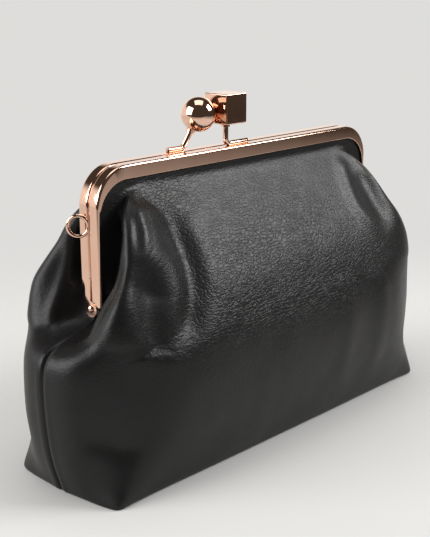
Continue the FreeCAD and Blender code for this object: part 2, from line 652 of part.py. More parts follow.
def channel_level(height, depth):
    """Points of a level just under the top channel, all in the leather's flat plane there."""
    shares = (1.0, 0.96, 0.91, 0.84, 0.75, 0.65, 0.35, 0.0)
    return height, [(channel_edge(height) * share, depth) for share in shares]


def channel_strip(depth, thickness, sign):
    """Flat upper edge of a panel, which stands in the top channel."""
    low, high = num(STRIP_LOW), num(STRIP_HIGH)
    spots = [Vector(channel_edge(z), sign * depth, z) for z in (low, (low + high) / 2, high)]
    across = [Vector(-spot.x, spot.y, spot.z) for spot in spots]
    foot = [across[0] + (spots[0] - across[0]) * (i / WALL_FACES) for i in range(WALL_FACES + 1)]
    edges = [Part.makeLine(*ends) for ends in zip(foot, foot[1:])]
    edges += [Part.Arc(*spots).toShape(), Part.makeLine(spots[2], across[2]),
              Part.Arc(*reversed(across)).toShape()]
    return Part.Face(Part.Wire(edges)).extrude(Vector(0, -sign * thickness, 0))


def wall_levels():
    """Control levels of the front panel's outer face; depth is measured forward from Y = 0."""
    hinge, top = num(HINGE), num(TOP)
    rise = top - hinge
    seam = num("Sizes.bag_length") / 2
    belly = num("Sizes.belly_depth") / 2
    base_x = num(BASE_CORNER_X)
    base_end = base_x + num("Sizes.base_bow")
    base_front = num("Sizes.base_depth") / 2
    edge = num(HALF_WIDTH) - num(CHANNEL_INSET)
    lip = num(HALF_WIDTH) - num(LEG_FLANGE)
    depth = num(LEATHER_FACE)
    under_ear = hinge - num("Sizes.ear_radius")

    def out(share):
        """A place between the leg's lip, at 0, and the side seam, at 1."""
        return lip + share * (seam - lip)

    return [
        seam_level(num(SOFT), base_end, base_front, (base_x + 2.5, base_front + 2.2), 7.0),
        seam_level(0.05 * hinge, base_end + 1.0, base_front + 1.5, (base_x + 2.0, base_front + 2.5), 9.0),
        seam_level(0.2 * hinge, seam - 2.0, 0.87 * belly, (out(0.4), 0.73 * belly), 16.0),
        seam_level(0.5 * hinge, seam + 0.5, belly, (out(0.3), 0.76 * belly), 21.0),
        seam_level(0.75 * hinge, seam + 1.0, 0.98 * belly, (out(0.29), 0.77 * belly), 22.0),
        leg_level(under_ear - 9.3, (out(0.87), 0.0), (out(0.89), 5.0), (out(0.89), 11.0),
                  (out(0.8), 20.0), (out(0.37), 34.0), 21.0, 0.94 * belly),
        leg_level(under_ear - 5.3, (out(0.32), 0.0), (out(0.38), 3.5), (out(0.51), 8.5),
                  (out(0.64), 17.0), (out(0.38), 32.0), 19.0, 0.92 * belly),
        leg_level(under_ear - 3.3, (lip - 1.7, 0.2), (lip - 0.2, 4.0), (out(0.13), 9.5),
                  (out(0.32), 16.0), (out(0.45), 30.0), 17.5, 0.9 * belly),
        leg_level(hinge + 0.06 * rise, (lip - 3.7, 2.0), (lip - 5.2, 5.5), (lip - 5.7, 9.0),
                  (lip - 0.5, 13.0), (out(0.46), 28.5), 15.5, 0.82 * belly),
        leg_level(hinge + 0.19 * rise, (lip - 2.7, depth - 0.4), (lip - 6.2, depth + 0.4),
                  (lip - 9.7, depth + 1.7), (lip - 10.0, 12.0), (out(0.37), 27.0), 13.0, 0.73 * belly),
        leg_level(hinge + 0.38 * rise, (edge, depth), (lip - 1.0, depth), (lip - 7.2, depth + 0.3),
                  (lip - 14.7, 8.5), (out(0.16), 24.0), 13.0, 0.59 * belly),
        leg_level(hinge + 0.57 * rise, (edge, depth), (lip - 1.0, depth), (lip - 7.2, depth + 0.2),
                  (lip - 15.7, 7.5), (lip - 1.2, 20.0), 9.0, 0.42 * belly),
        leg_level(hinge + 0.75 * rise, (edge, depth), (lip - 2.2, depth), (lip - 8.2, depth),
                  (lip - 14.2, depth + 0.8), (lip - 9.0, 11.0), 8.0, 0.17 * belly),
        channel_level(num(STRIP_LOW) - 2.0, depth),
        channel_level(num(STRIP_LOW), depth),
    ]


def control_net(levels, sign):
    """Full rows of control points, right seam to left seam; sign is -1 for the front."""
    rows = []
    for height, points in levels:
        right = [Vector(x, depth, height) for x, depth in points]
        left = [Vector(-point.x, point.y, point.z) for point in reversed(right[:-1])]
        rows.append([Vector(point.x, sign * point.y, point.z) for point in right + left])
    return rows


def even_steps(count):
    """Shares from 0 to 1 at which points give a clamped cubic spline an even pace."""
    spans = count - 3
    return [0.0, 1 / (3 * spans)] + [place / spans for place in range(1, spans)] + [1 - 1 / (3 * spans), 1.0]


def even_points(curve, count):
    """Points along a curve at those shares of its length."""
    length = curve.length()
    places = [curve.parameterAtDistance(share * length) for share in even_steps(count)[1:-1]]
    return [curve.value(place) for place in [curve.FirstParameter, *places, curve.LastParameter]]


def even_net(rows):
    """The same wall on a net of evenly spaced points, so that its faces divide evenly."""
    surface = spline_surface(rows)
    middle = surface.vIso(surface.bounds()[3] / 2)
    heights = [middle.parameter(point) for point in even_points(middle, NET_ROWS)]
    return [even_points(surface.uIso(place), NET_COLUMNS) for place in heights]


def moved_in(rows, sign, distance):
    """The net moved inward by a thickness, with its seam kept in the plane of the seam."""
    last_row, last_column = len(rows) - 1, len(rows[0]) - 1
    result = []
    for i, row in enumerate(rows):
        moved = []
        for j, point in enumerate(row):
            along = row[min(j + 1, last_column)] - row[max(j - 1, 0)]
            up = rows[min(i + 1, last_row)][j] - rows[max(i - 1, 0)][j]
            outward = along.cross(up) * sign
            if i in (0, last_row):
                outward.z = 0.0
            if j in (0, last_column) and abs(point.y) < 1e-6:
                outward.y = 0.0
            moved.append(point - outward.normalize() * distance)
        result.append(moved)
    return result


def spline_surface(rows):
    """Clamped cubic surface over a net of control points."""
    def knots(count):
        inner = count - 3
        return list(range(inner + 1)), [4] + [1] * (inner - 1) + [4]
    u_knots, u_mults = knots(len(rows))
    v_knots, v_mults = knots(len(rows[0]))
    surface = Part.BSplineSurface()
    surface.buildFromPolesMultsKnots(rows, u_mults, v_mults, u_knots, v_knots, False, False, 3, 3)
    return surface


def wall_faces(outer, inner, first, last):
    """Faces of the sheet between two surfaces, for one of the divisions across."""
    low, high = outer.bounds()[:2]
    parts = []
    for surface in (outer, inner):
        part = surface.copy()
        part.segment(low, high, first, last)
        parts.append(part)
    cuts = [("uIso", low)]
    if first == outer.bounds()[2]:
        cuts.append(("vIso", first))
    if last == outer.bounds()[3]:
        cuts.append(("vIso", last))
    edges = [[getattr(part, cut)(place).toShape() for part in parts] for cut, place in cuts]
    return [part.toShape() for part in parts] + [Part.makeRuledSurface(*pair) for pair in edges]


def panel_solid(outer_rows, inner_rows, strip):
    """Closed sheet between two surfaces over nets of the same layout, with its upper strip."""
    outer, inner = spline_surface(outer_rows), spline_surface(inner_rows)
    last = outer.bounds()[3]
    places = [last * i / WALL_FACES for i in range(WALL_FACES + 1)]
    faces = [face for ends in zip(places, places[1:]) for face in wall_faces(outer, inner, *ends)]
    foot = strip.BoundBox.ZMin
    faces += [face for face in strip.Faces if face.CenterOfMass.z > foot + 0.01]
    shell = Part.makeShell(faces)
    shell.sewShape()
    solid = Part.makeSolid(Part.Shell(shell.Faces))
    if solid.Volume < 0:
        solid.reverse()
    return solid


def soft_panel(name, sign, start, thickness):
    """Front or rear panel of leather or lining, at a distance inside the leather's outer face."""
    rows = even_net(control_net(wall_levels(), sign))
    outer = moved_in(rows, sign, start) if start else rows
    if start:
        lift = Vector(0, 0, num("Sizes.leather_thickness"))
        outer[0] = [point + lift for point in outer[0]]
    inner = moved_in(outer, sign, thickness)
    panel = doc.addObject("Part::Feature", name)
    panel.Label = name
    strip = channel_strip(num(LEATHER_FACE) - start, thickness, sign)
    panel.Shape = panel_solid(outer, inner, strip)
    panel.Placement = Placement()
    return panel


def soft_goods():
    """Leather walls, lining walls and the layered base."""
    leather = num("Sizes.leather_thickness")
    lining_start = leather + num(SOFT)
    for side, sign in (("front", -1), ("rear", 1)):
        soft_panel(f"{side}_leather", sign, 0.0, leather)
        soft_panel(f"{side}_lining", sign, lining_start, num("Sizes.lining_thickness"))
        channel_cord(f"{side}_channel_cord", side == "front")
    inside_leather = f"Sizes.leather_thickness + 2 * {SOFT}"
    inside_lining = f"{inside_leather} + Sizes.lining_thickness + {SOFT}"
    base_plate("base_panel", inside_leather, "0", "Sizes.leather_thickness")
    base_plate("base_board", inside_lining, "Sizes.leather_thickness", "Sizes.board_thickness")
    above_board = "Sizes.leather_thickness + Sizes.board_thickness"
    base_plate("base_lining", inside_lining, above_board, "Sizes.lining_thickness")


def write_parts(names):
    """Check every object of the document, then write one file for each piece."""
    doc.recompute()
    for item in doc.Objects:
        if "Invalid" in item.State or "Error" in item.State:
            raise ValueError(f"{item.Name} did not build: {item.State}")
    pieces = {item.Label: item for item in doc.Objects if item.Label in names}
    missing = set(names) - set(pieces)
    if missing:
        raise ValueError(f"missing pieces: {sorted(missing)}")
    for name, item in pieces.items():
        if item.Shape.isNull() or not item.Shape.isValid() or len(item.Shape.Solids) != 1:
            raise ValueError(f"{name} is not one valid solid")
    os.makedirs("parts", exist_ok=True)
    for name, item in pieces.items():
        item.Shape.exportStep(f"parts/{name}.step")
        box = item.Shape.BoundBox
        print(f"{name}: {item.Shape.Volume:.1f} mm3, x {box.XMin:.2f}..{box.XMax:.2f}, "
              f"y {box.YMin:.2f}..{box.YMax:.2f}, z {box.ZMin:.2f}..{box.ZMax:.2f}")


PIECES = [
    "front_frame", "rear_frame", "left_hinge_rivet", "right_hinge_rivet",
    "ball_stem", "ball_collar", "ball_knob", "cube_stem", "cube_collar", "cube_knob",
    "left_strap_loop", "right_strap_loop", "front_leather", "rear_leather",
    "front_lining", "rear_lining", "front_channel_cord", "rear_channel_cord",
    "base_panel", "base_board", "base_lining",
]

front_frame()
rear_frame()
for label, side in (("left", -1), ("right", 1)):
    hinge_rivet(f"{label}_hinge_rivet", side)
    strap_loop(f"{label}_strap_loop", side)
clasp()
soft_goods()
write_parts(PIECES)
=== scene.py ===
"""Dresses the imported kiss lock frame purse: frame and clasp, leather, lining, base and stage."""
import math

import bpy
import numpy as np
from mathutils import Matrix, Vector, noise


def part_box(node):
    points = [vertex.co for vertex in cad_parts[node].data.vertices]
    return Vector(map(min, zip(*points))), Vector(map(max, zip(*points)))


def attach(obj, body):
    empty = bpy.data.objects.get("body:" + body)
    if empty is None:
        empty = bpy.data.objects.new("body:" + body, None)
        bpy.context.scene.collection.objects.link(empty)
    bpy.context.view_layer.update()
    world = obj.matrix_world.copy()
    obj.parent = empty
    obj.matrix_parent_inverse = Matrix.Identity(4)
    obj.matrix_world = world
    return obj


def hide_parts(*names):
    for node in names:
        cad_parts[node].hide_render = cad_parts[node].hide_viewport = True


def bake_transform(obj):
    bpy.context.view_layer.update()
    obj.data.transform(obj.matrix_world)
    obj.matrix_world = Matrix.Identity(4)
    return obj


bl_info = {
    "name": "Kiss lock frame purse",
    "version": (1, 0, 0),
    "blender": (4, 5, 0),
    "location": "3D View > Sidebar > Purse",
    "description": "Models and dresses a leather purse on a hinged metal frame",
    "category": "Object",
}

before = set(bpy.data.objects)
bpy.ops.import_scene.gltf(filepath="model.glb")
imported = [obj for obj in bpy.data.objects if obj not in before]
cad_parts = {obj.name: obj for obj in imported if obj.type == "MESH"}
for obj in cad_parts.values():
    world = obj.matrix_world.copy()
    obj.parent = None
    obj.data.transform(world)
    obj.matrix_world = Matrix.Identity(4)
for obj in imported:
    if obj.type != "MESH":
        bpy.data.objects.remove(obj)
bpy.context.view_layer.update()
MM = 0.001


def hex_colour(text):
    """Linear colour with alpha from an sRGB hex value."""
    shares = [int(text[i:i + 2], 16) / 255 for i in (1, 3, 5)]
    linear = [s / 12.92 if s <= 0.04045 else ((s + 0.055) / 1.055) ** 2.4 for s in shares]
    return (*linear, 1.0)


def colour_property(label, text, default):
    """Colour that the user can change, given as an sRGB hex value."""
    return bpy.props.FloatVectorProperty(name=label, description=text, subtype="COLOR", size=4,
                                         min=0.0, max=1.0, default=hex_colour(default))


def length_property(label, text, millimetres):
    """Length that the user can change, given in millimetres."""
    return bpy.props.FloatProperty(name=label, description=text, unit="LENGTH", subtype="DISTANCE",
                                   precision=4, default=millimetres * MM)


class PurseSizes(bpy.types.PropertyGroup):
    """Sizes of the soft pieces and of the stage."""
    leather: length_property("Leather", "Thickness of the outer leather", 1.2)
    lining: length_property("Lining", "Thickness of the lining cloth", 0.7)
    lining_gap: length_property("Lining gap", "Space between leather and lining", 0.35)
    seam_groove: length_property("Seam groove", "How far the side seam is drawn in", 1.1)
    hem_round: length_property("Hem round", "Radius at the bottom edge of the walls", 1.6)
    slack: length_property("Slack", "Height of the soft unevenness of the leather", 0.45)
    cord: length_property("Cord", "Radius of the paper cord in the channels", 0.75)
    cord_pitch: length_property("Cord pitch", "Length of one turn of the paper cord", 5.0)
    floor_radius: length_property("Floor radius", "Radius of the floor disc", 1400.0)
    lamp_distance: length_property("Lamp distance", "Distance of the soft lamps", 1250.0)


class PurseColours(bpy.types.PropertyGroup):
    """Colours of the finishes."""
    plate: colour_property("Plate", "Polished rose gold plate", "#EFCBB6")
    plate_warm: colour_property("Warm plate", "Thinner, redder places of the plate", "#E9BCA3")
    leather: colour_property("Leather", "Black dyed leather", "#0E0D0D")
    leather_worn: colour_property("Rubbed leather", "Black leather where the grain is rubbed", "#171616")
    lining: colour_property("Lining", "Warm grey lining cloth", "#5B534C")
    lining_dark: colour_property("Lining weft", "Darker weft of the lining", "#453F3A")
    board: colour_property("Board", "Grey brown fibre board", "#8C7355")
    paper: colour_property("Paper", "Kraft paper of the channel cord", "#B89B6E")
    floor: colour_property("Floor", "Pale matt floor", "#C3C2C0")
    backdrop: colour_property("Backdrop", "Pale backdrop as the camera sees it", "#DEDDDB")


# Helpers for selection, nodes and pieces


def select_only(*objects):
    """Select these objects and make the first one active."""
    bpy.ops.object.select_all(action="DESELECT")
    for item in objects:
        item.select_set(True)
    bpy.context.view_layer.objects.active = objects[0]


def apply_modifier(piece, kind, **settings):
    """Add one modifier and apply it to the mesh."""
    select_only(piece)
    modifier = piece.modifiers.new(kind.title(), kind)
    for name, value in settings.items():
        setattr(modifier, name, value)
    bpy.ops.object.modifier_apply(modifier=modifier.name)


def smooth_shade(piece, degrees):
    """Shade a piece smooth, with edges sharper than the angle kept crisp."""
    select_only(piece)
    bpy.ops.object.shade_smooth_by_angle(angle=math.radians(degrees), keep_sharp_edges=False)


def dress(piece, material, body=None, node=None):
    """Give a piece its material, its body and the node that it stands for."""
    piece.data.materials.clear()
    piece.data.materials.append(material)
    if node:
        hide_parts(node)
    if body:
        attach(piece, body)
    return piece


def add_node(tree, kind, settings=None, links=None):
    """Add one node. Settings go on its properties or sockets, links come from other outputs."""
    node = tree.nodes.new(kind)
    for name, value in (settings or {}).items():
        if isinstance(name, str) and hasattr(node, name):
            setattr(node, name, value)
        else:
            node.inputs[name].default_value = value
    for name, output in (links or {}).items():
        tree.links.new(output, node.inputs[name])
    return node


def new_material(name):
    """Empty node material with its output; returns the material, its tree and the output."""
    material = bpy.data.materials.new(name)
    material.use_nodes = True
    material.node_tree.nodes.clear()
    output = add_node(material.node_tree, "ShaderNodeOutputMaterial")
    return material, material.node_tree, output


def finish(name, make):
    """The one material of a finish, made when it is first asked for."""
    return bpy.data.materials.get(name) or make()


# Materials


def rose_gold_plate():
    """Pressed brass, polished and plated in rose gold."""
    # A polished plated metal mirrors the room, with a faint haze and slow changes of warmth.
    colours = bpy.context.scene.purse_colours
    material, tree, output = new_material("rose_gold_plate")
    place = add_node(tree, "ShaderNodeTexCoord")
    # Plate thickness drifts over about 12 mm.
    drift = add_node(tree, "ShaderNodeTexNoise", {"Scale": 1 / (12 * MM), "Detail": 2.0},
                     {"Vector": place.outputs["Object"]})
    tint = add_node(tree, "ShaderNodeMix", {"data_type": "RGBA", 6: colours.plate, 7: colours.plate_warm},
                    {0: drift.outputs["Fac"]})
    # Buffing haze in patches of about 3 mm.
    haze = add_node(tree, "ShaderNodeTexNoise", {"Scale": 1 / (3 * MM), "Detail": 4.0, "Roughness": 0.6},
                    {"Vector": place.outputs["Object"]})
    rough = add_node(tree, "ShaderNodeMapRange", {"From Min": 0.3, "From Max": 0.7, "To Min": 0.05,
                                                  "To Max": 0.1}, {"Value": haze.outputs["Fac"]})
    # Fine buffing lines are far under 0.1 mm; they are drawn at 0.5 mm so that they show at all.
    lines = add_node(tree, "ShaderNodeTexNoise", {"Scale": 1 / (0.5 * MM), "Detail": 2.0},
                     {"Vector": place.outputs["Object"]})
    bump = add_node(tree, "ShaderNodeBump", {"Strength": 0.02, "Distance": 0.02 * MM},
                    {"Height": lines.outputs["Fac"]})
    shader = add_node(tree, "ShaderNodeBsdfPrincipled", {"Metallic": 1.0},
                      {"Base Color": tint.outputs[2], "Roughness": rough.outputs["Result"],
                       "Normal": bump.outputs["Normal"]})
    tree.links.new(shader.outputs["BSDF"], output.inputs["Surface"])
    return material


def nappa_leather():
    """Soft black nappa: drum dyed, tumbled so that fine wrinkles form, with a satin dressing."""
    # It shows short wavy wrinkles about 1.5 mm apart, smoother where the skin is stretched.
    colours = bpy.context.scene.purse_colours
    material, tree, output = new_material("black_nappa_leather")
    place = add_node(tree, "ShaderNodeTexCoord")
    stretch = add_node(tree, "ShaderNodeAttribute", {"attribute_name": "grain"})
    # The wrinkles run rather across the panel than up it, so the pattern is drawn out sideways.
    across = add_node(tree, "ShaderNodeMapping", {"Scale": (0.45, 0.45, 1.0)},
                      {"Vector": place.outputs["Object"]})
    wander = add_node(tree, "ShaderNodeTexNoise", {"Scale": 1 / (5 * MM), "Detail": 1.0},
                      {"Vector": across.outputs["Vector"]})
    centred = add_node(tree, "ShaderNodeVectorMath", {"operation": "SUBTRACT", 1: (0.5, 0.5, 0.5)},
                       {0: wander.outputs["Color"]})
    amount = add_node(tree, "ShaderNodeVectorMath", {"operation": "SCALE", "Scale": 2.6 * MM},
                      {0: centred.outputs["Vector"]})
    bent = add_node(tree, "ShaderNodeVectorMath", {"operation": "ADD"},
                    {0: across.outputs["Vector"], 1: amount.outputs["Vector"]})
    wrinkle = add_node(tree, "ShaderNodeTexNoise", {"Scale": 1 / (1.2 * MM), "Detail": 2.0,
                                                    "Roughness": 0.55, "Distortion": 0.4},
                       {"Vector": bent.outputs["Vector"]})
    # Pebbles 1.4 mm high and about 3 mm wide, with creases between them.
    crease = add_node(tree, "ShaderNodeTexVoronoi", {"feature": "DISTANCE_TO_EDGE", "Scale": 1 / (1.4 * MM)},
                      {"Vector": bent.outputs["Vector"]})
    pebble = add_node(tree, "ShaderNodeMapRange", {"interpolation_type": "SMOOTHSTEP", "From Max": 0.2},
                      {"Value": crease.outputs["Distance"]})
    relief = add_node(tree, "ShaderNodeMath", {"operation": "MULTIPLY_ADD", 1: 0.6},
                      {0: pebble.outputs["Result"], 2: wrinkle.outputs["Fac"]})
    held = add_node(tree, "ShaderNodeMath", {"operation": "MULTIPLY"},
                    {0: relief.outputs["Value"], 1: stretch.outputs["Fac"]})
    bump = add_node(tree, "ShaderNodeBump", {"Strength": 0.65, "Distance": 0.25 * MM},
                    {"Height": held.outputs["Value"]})
    # The dressing rubs off a little on the high places.
    patches = add_node(tree, "ShaderNodeTexNoise", {"Scale": 1 / (18 * MM), "Detail": 3.0},
                       {"Vector": place.outputs["Object"]})
    tint = add_node(tree, "ShaderNodeMix", {"data_type": "RGBA", 6: colours.leather,
                                            7: colours.leather_worn}, {0: patches.outputs["Fac"]})
    rough = add_node(tree, "ShaderNodeMapRange", {"From Min": 0.3, "From Max": 0.75, "To Min": 0.35,
                                                  "To Max": 0.43}, {"Value": wrinkle.outputs["Fac"]})
    shader = add_node(tree, "ShaderNodeBsdfPrincipled", {"IOR": 1.5, "Specular IOR Level": 0.28},
                      {"Base Color": tint.outputs[2], "Roughness": rough.outputs["Result"],
                       "Normal": bump.outputs["Normal"]})
    tree.links.new(shader.outputs["BSDF"], output.inputs["Surface"])
    return material


def lining_weave():
    """Plain woven cotton lining."""
    # Cloth is dull with a soft edge glow, and its over and under threads show as a fine check.
    colours = bpy.context.scene.purse_colours
    material, tree, output = new_material("woven_cotton_lining")
    place = add_node(tree, "ShaderNodeTexCoord")
    # The real threads lie 0.3 mm apart; they are drawn at 0.8 mm so that they show.
    thread = 0.8 * MM
    warp = add_node(tree, "ShaderNodeTexWave", {"bands_direction": "X", "Scale": 1 / thread / 20 * math.tau,
                                                "Distortion": 0.4}, {"Vector": place.outputs["Object"]})
    weft = add_node(tree, "ShaderNodeTexWave", {"bands_direction": "Z", "Scale": 1 / thread / 20 * math.tau,
                                                "Distortion": 0.4}, {"Vector": place.outputs["Object"]})
    check = add_node(tree, "ShaderNodeMath", {"operation": "MULTIPLY"},
                     {0: warp.outputs["Fac"], 1: weft.outputs["Fac"]})
    slub = add_node(tree, "ShaderNodeTexNoise", {"Scale": 1 / (4 * MM), "Detail": 3.0},
                    {"Vector": place.outputs["Object"]})
    mixed = add_node(tree, "ShaderNodeMath", {"operation": "MULTIPLY_ADD", 1: 0.5},
                     {0: slub.outputs["Fac"], 2: check.outputs["Value"]})
    tint = add_node(tree, "ShaderNodeMix", {"data_type": "RGBA", 6: colours.lining_dark, 7: colours.lining},
                    {0: mixed.outputs["Value"]})
    bump = add_node(tree, "ShaderNodeBump", {"Strength": 0.4, "Distance": 0.15 * MM},
                    {"Height": check.outputs["Value"]})
    shader = add_node(tree, "ShaderNodeBsdfPrincipled", {"Roughness": 0.85, "Sheen Weight": 0.25,
                                                         "Specular IOR Level": 0.3},
                      {"Base Color": tint.outputs[2], "Normal": bump.outputs["Normal"]})
    tree.links.new(shader.outputs["BSDF"], output.inputs["Surface"])
    return material


def pressed_fibre_board():
    """Grey brown board of pressed fibres."""
    # Short fibres lie flat in all directions and give a speckled matt face.
    colours = bpy.context.scene.purse_colours
    material, tree, output = new_material("pressed_fibre_board")
    place = add_node(tree, "ShaderNodeTexCoord")
    fibre = add_node(tree, "ShaderNodeTexNoise", {"Scale": 1 / (1.2 * MM), "Detail": 5.0, "Distortion": 1.5},
                     {"Vector": place.outputs["Object"]})
    ramp = add_node(tree, "ShaderNodeMapRange", {"From Min": 0.25, "From Max": 0.75},
                    {"Value": fibre.outputs["Fac"]})
    darker = tuple(0.6 * share for share in colours.board[:3]) + (1.0,)
    tint = add_node(tree, "ShaderNodeMix", {"data_type": "RGBA", 6: darker, 7: colours.board},
                    {0: ramp.outputs["Result"]})
    bump = add_node(tree, "ShaderNodeBump", {"Strength": 0.3, "Distance": 0.1 * MM},
                    {"Height": fibre.outputs["Fac"]})
    shader = add_node(tree, "ShaderNodeBsdfPrincipled", {"Roughness": 0.9, "Specular IOR Level": 0.3},
                      {"Base Color": tint.outputs[2], "Normal": bump.outputs["Normal"]})
    tree.links.new(shader.outputs["BSDF"], output.inputs["Surface"])
    return material


def kraft_paper():
    """Unbleached kraft paper, twisted into cord."""
    # Long fibres give fine streaks and a dry, matt face.
    colours = bpy.context.scene.purse_colours
    material, tree, output = new_material("twisted_kraft_paper")
    place = add_node(tree, "ShaderNodeTexCoord")
    streak = add_node(tree, "ShaderNodeTexNoise", {"Scale": 1 / (0.8 * MM), "Detail": 4.0},
                      {"Vector": place.outputs["Object"]})
    darker = tuple(0.65 * share for share in colours.paper[:3]) + (1.0,)
    tint = add_node(tree, "ShaderNodeMix", {"data_type": "RGBA", 6: darker, 7: colours.paper},
                    {0: streak.outputs["Fac"]})
    bump = add_node(tree, "ShaderNodeBump", {"Strength": 0.3, "Distance": 0.1 * MM},
                    {"Height": streak.outputs["Fac"]})
    shader = add_node(tree, "ShaderNodeBsdfPrincipled", {"Roughness": 0.85, "Specular IOR Level": 0.3},
                      {"Base Color": tint.outputs[2], "Normal": bump.outputs["Normal"]})
    tree.links.new(shader.outputs["BSDF"], output.inputs["Surface"])
    return material


# Shape of the bag's walls, in millimetres; the control net is the one of the solids

SEAM_X, BELLY, LIP_X, CHANNEL_X = 129.0, 45.5, 98.2, 98.9
BASE_CORNER_X, BASE_END_X, BASE_FRONT = 115.5, 121.0, 33.7
HINGE_Z, TOP_Z, TOP_LIP_Z, UNDER_EAR_Z = 82.0, 146.0, 139.5, 78.3
FACE_Y, CORNER_R, CHANNEL_INSET, HALF_FRAME = 5.25, 18.0, 1.1, 100.0
RISE = TOP_Z - HINGE_Z


def out(share):
    """A place between the leg's lip, at 0, and the side seam, at 1."""
    return LIP_X + share * (SEAM_X - LIP_X)


def seam_level(height, seam, front, corner, turn):
    """Points of a level below the hinge, from the side seam round the corner to the front."""
    side = corner[0] + 0.7 * (seam - corner[0])
    return height, [(seam, 0.0), (seam, 0.12 * front), (seam - 0.5, 0.3 * front), (side, 0.5 * front),
                    corner, (corner[0] - turn, 0.98 * front), (0.5 * seam, front), (0.0, front)]


def leg_level(height, edge, near, mouth, fold, side, turn, front):
    """Points of a level beside the frame's leg: from the leg, round a fold, to the front."""
    corner = (side[0] - turn, front)
    return height, [edge, near, mouth, fold, side, corner, (0.55 * corner[0], front), (0.0, front)]


def channel_level(height):
    """Points of a level inside the top channel, all in the leather's flat plane there."""
    radius = CORNER_R - CHANNEL_INSET
    drop = max(height - (TOP_Z - CORNER_R), 0.0)
    edge = HALF_FRAME - CORNER_R + math.sqrt(max(radius ** 2 - drop ** 2, 0.0))
    return height, [(edge * share, FACE_Y) for share in (1.0, 0.96, 0.91, 0.84, 0.75, 0.65, 0.35, 0.0)]


def wall_levels():
    """Control levels of the front wall's outer face; depth is measured forward from Y = 0."""
    return [
        seam_level(0.3, BASE_END_X, BASE_FRONT, (BASE_CORNER_X + 2.5, BASE_FRONT + 2.2), 7.0),
        seam_level(0.05 * HINGE_Z, BASE_END_X + 1.0, BASE_FRONT + 1.5,
                   (BASE_CORNER_X + 2.0, BASE_FRONT + 2.5), 9.0),
        seam_level(0.2 * HINGE_Z, SEAM_X - 2.0, 0.87 * BELLY, (out(0.4), 0.73 * BELLY), 16.0),
        seam_level(0.5 * HINGE_Z, SEAM_X + 0.5, BELLY, (out(0.3), 0.76 * BELLY), 21.0),
        seam_level(0.75 * HINGE_Z, SEAM_X + 1.0, 0.957 * BELLY, (out(0.29), 0.77 * BELLY), 22.0),
        leg_level(UNDER_EAR_Z - 9.3, (out(0.87), 0.0), (out(0.89), 5.0), (out(0.89), 11.0),
                  (out(0.8), 20.0), (out(0.37), 34.0), 21.0, 0.918 * BELLY),
        leg_level(UNDER_EAR_Z - 5.3, (out(0.32), 0.0), (out(0.38), 3.5), (out(0.51), 8.5),
                  (out(0.74), 16.5), (out(0.5), 31.5), 21.0, 0.893 * BELLY),
        leg_level(UNDER_EAR_Z - 3.3, (LIP_X - 1.7, 0.2), (LIP_X - 0.2, 4.0), (out(0.13), 9.5),
                  (out(0.6), 15.0), (out(0.66), 29.0), 22.0, 0.88 * BELLY),
        leg_level(HINGE_Z + 0.06 * RISE, (LIP_X - 3.7, 2.0), (LIP_X - 5.2, 5.5), (LIP_X - 5.7, 9.0),
                  (out(0.24), 12.0), (out(0.66), 28.0), 20.0, 0.793 * BELLY),
        leg_level(HINGE_Z + 0.19 * RISE, (LIP_X - 2.7, FACE_Y - 0.4), (LIP_X - 6.2, FACE_Y + 0.4),
                  (LIP_X - 9.7, FACE_Y + 1.7), (LIP_X - 7.0, 11.0), (out(0.5), 28.0), 17.0, 0.71 * BELLY),
        leg_level(HINGE_Z + 0.38 * RISE, (CHANNEL_X, FACE_Y), (LIP_X - 1.0, FACE_Y),
                  (LIP_X - 7.2, FACE_Y + 0.3), (LIP_X - 14.7, 8.5), (out(0.16), 25.0), 13.0, 0.547 * BELLY),
        leg_level(HINGE_Z + 0.57 * RISE, (CHANNEL_X, FACE_Y), (LIP_X - 1.0, FACE_Y),
                  (LIP_X - 7.2, FACE_Y + 0.2), (LIP_X - 15.7, 7.5), (LIP_X - 2.0, 20.5), 9.0, 0.367 * BELLY),
        leg_level(HINGE_Z + 0.75 * RISE, (CHANNEL_X, FACE_Y), (LIP_X - 2.2, FACE_Y), (LIP_X - 8.2, FACE_Y),
                  (LIP_X - 14.2, FACE_Y + 0.8), (LIP_X - 9.0, 11.0), 8.0, 0.185 * BELLY),
        channel_level(TOP_LIP_Z - 4.0), channel_level(TOP_LIP_Z - 1.5), channel_level(TOP_LIP_Z + 1.5),
        channel_level(TOP_Z - CHANNEL_INSET - 0.6),
    ]


def control_net():
    """Rows of control points of the front wall, from the left seam to the right one."""
    rows = []
    for height, points in wall_levels():
        left = [(-x, -depth, height) for x, depth in points]
        rows.append(left + [(-x, y, z) for x, y, z in reversed(left[:-1])])
    return np.array(rows)


def spline_weights(count, places):
    """Weights of the control points of a clamped cubic spline at places from 0 to 1."""
    spans = count - 3
    knots = np.concatenate([np.zeros(3), np.arange(spans + 1.0), np.full(3, float(spans))])
    at = np.clip(np.asarray(places, float) * spans, 0.0, spans - 1e-9)
    weights = [((knots[i] <= at) & (at < knots[i + 1])).astype(float) for i in range(len(knots) - 1)]
    for degree in (1, 2, 3):
        higher = []
        for i in range(len(knots) - 1 - degree):
            value = np.zeros_like(at)
            before, after = knots[i + degree] - knots[i], knots[i + degree + 1] - knots[i + 1]
            if before > 0:
                value += (at - knots[i]) / before * weights[i]
            if after > 0:
                value += (knots[i + degree + 1] - at) / after * weights[i + 1]
            higher.append(value)
        weights = higher
    return np.array(weights).T


def wall_points(across, up):
    """Points of the front wall at shares across and up, as rows of points in millimetres."""
    net = control_net()
    rows, columns = spline_weights(net.shape[0], up), spline_weights(net.shape[1], across)
    return np.einsum("ri,ijk,cj->rck", rows, net, columns)


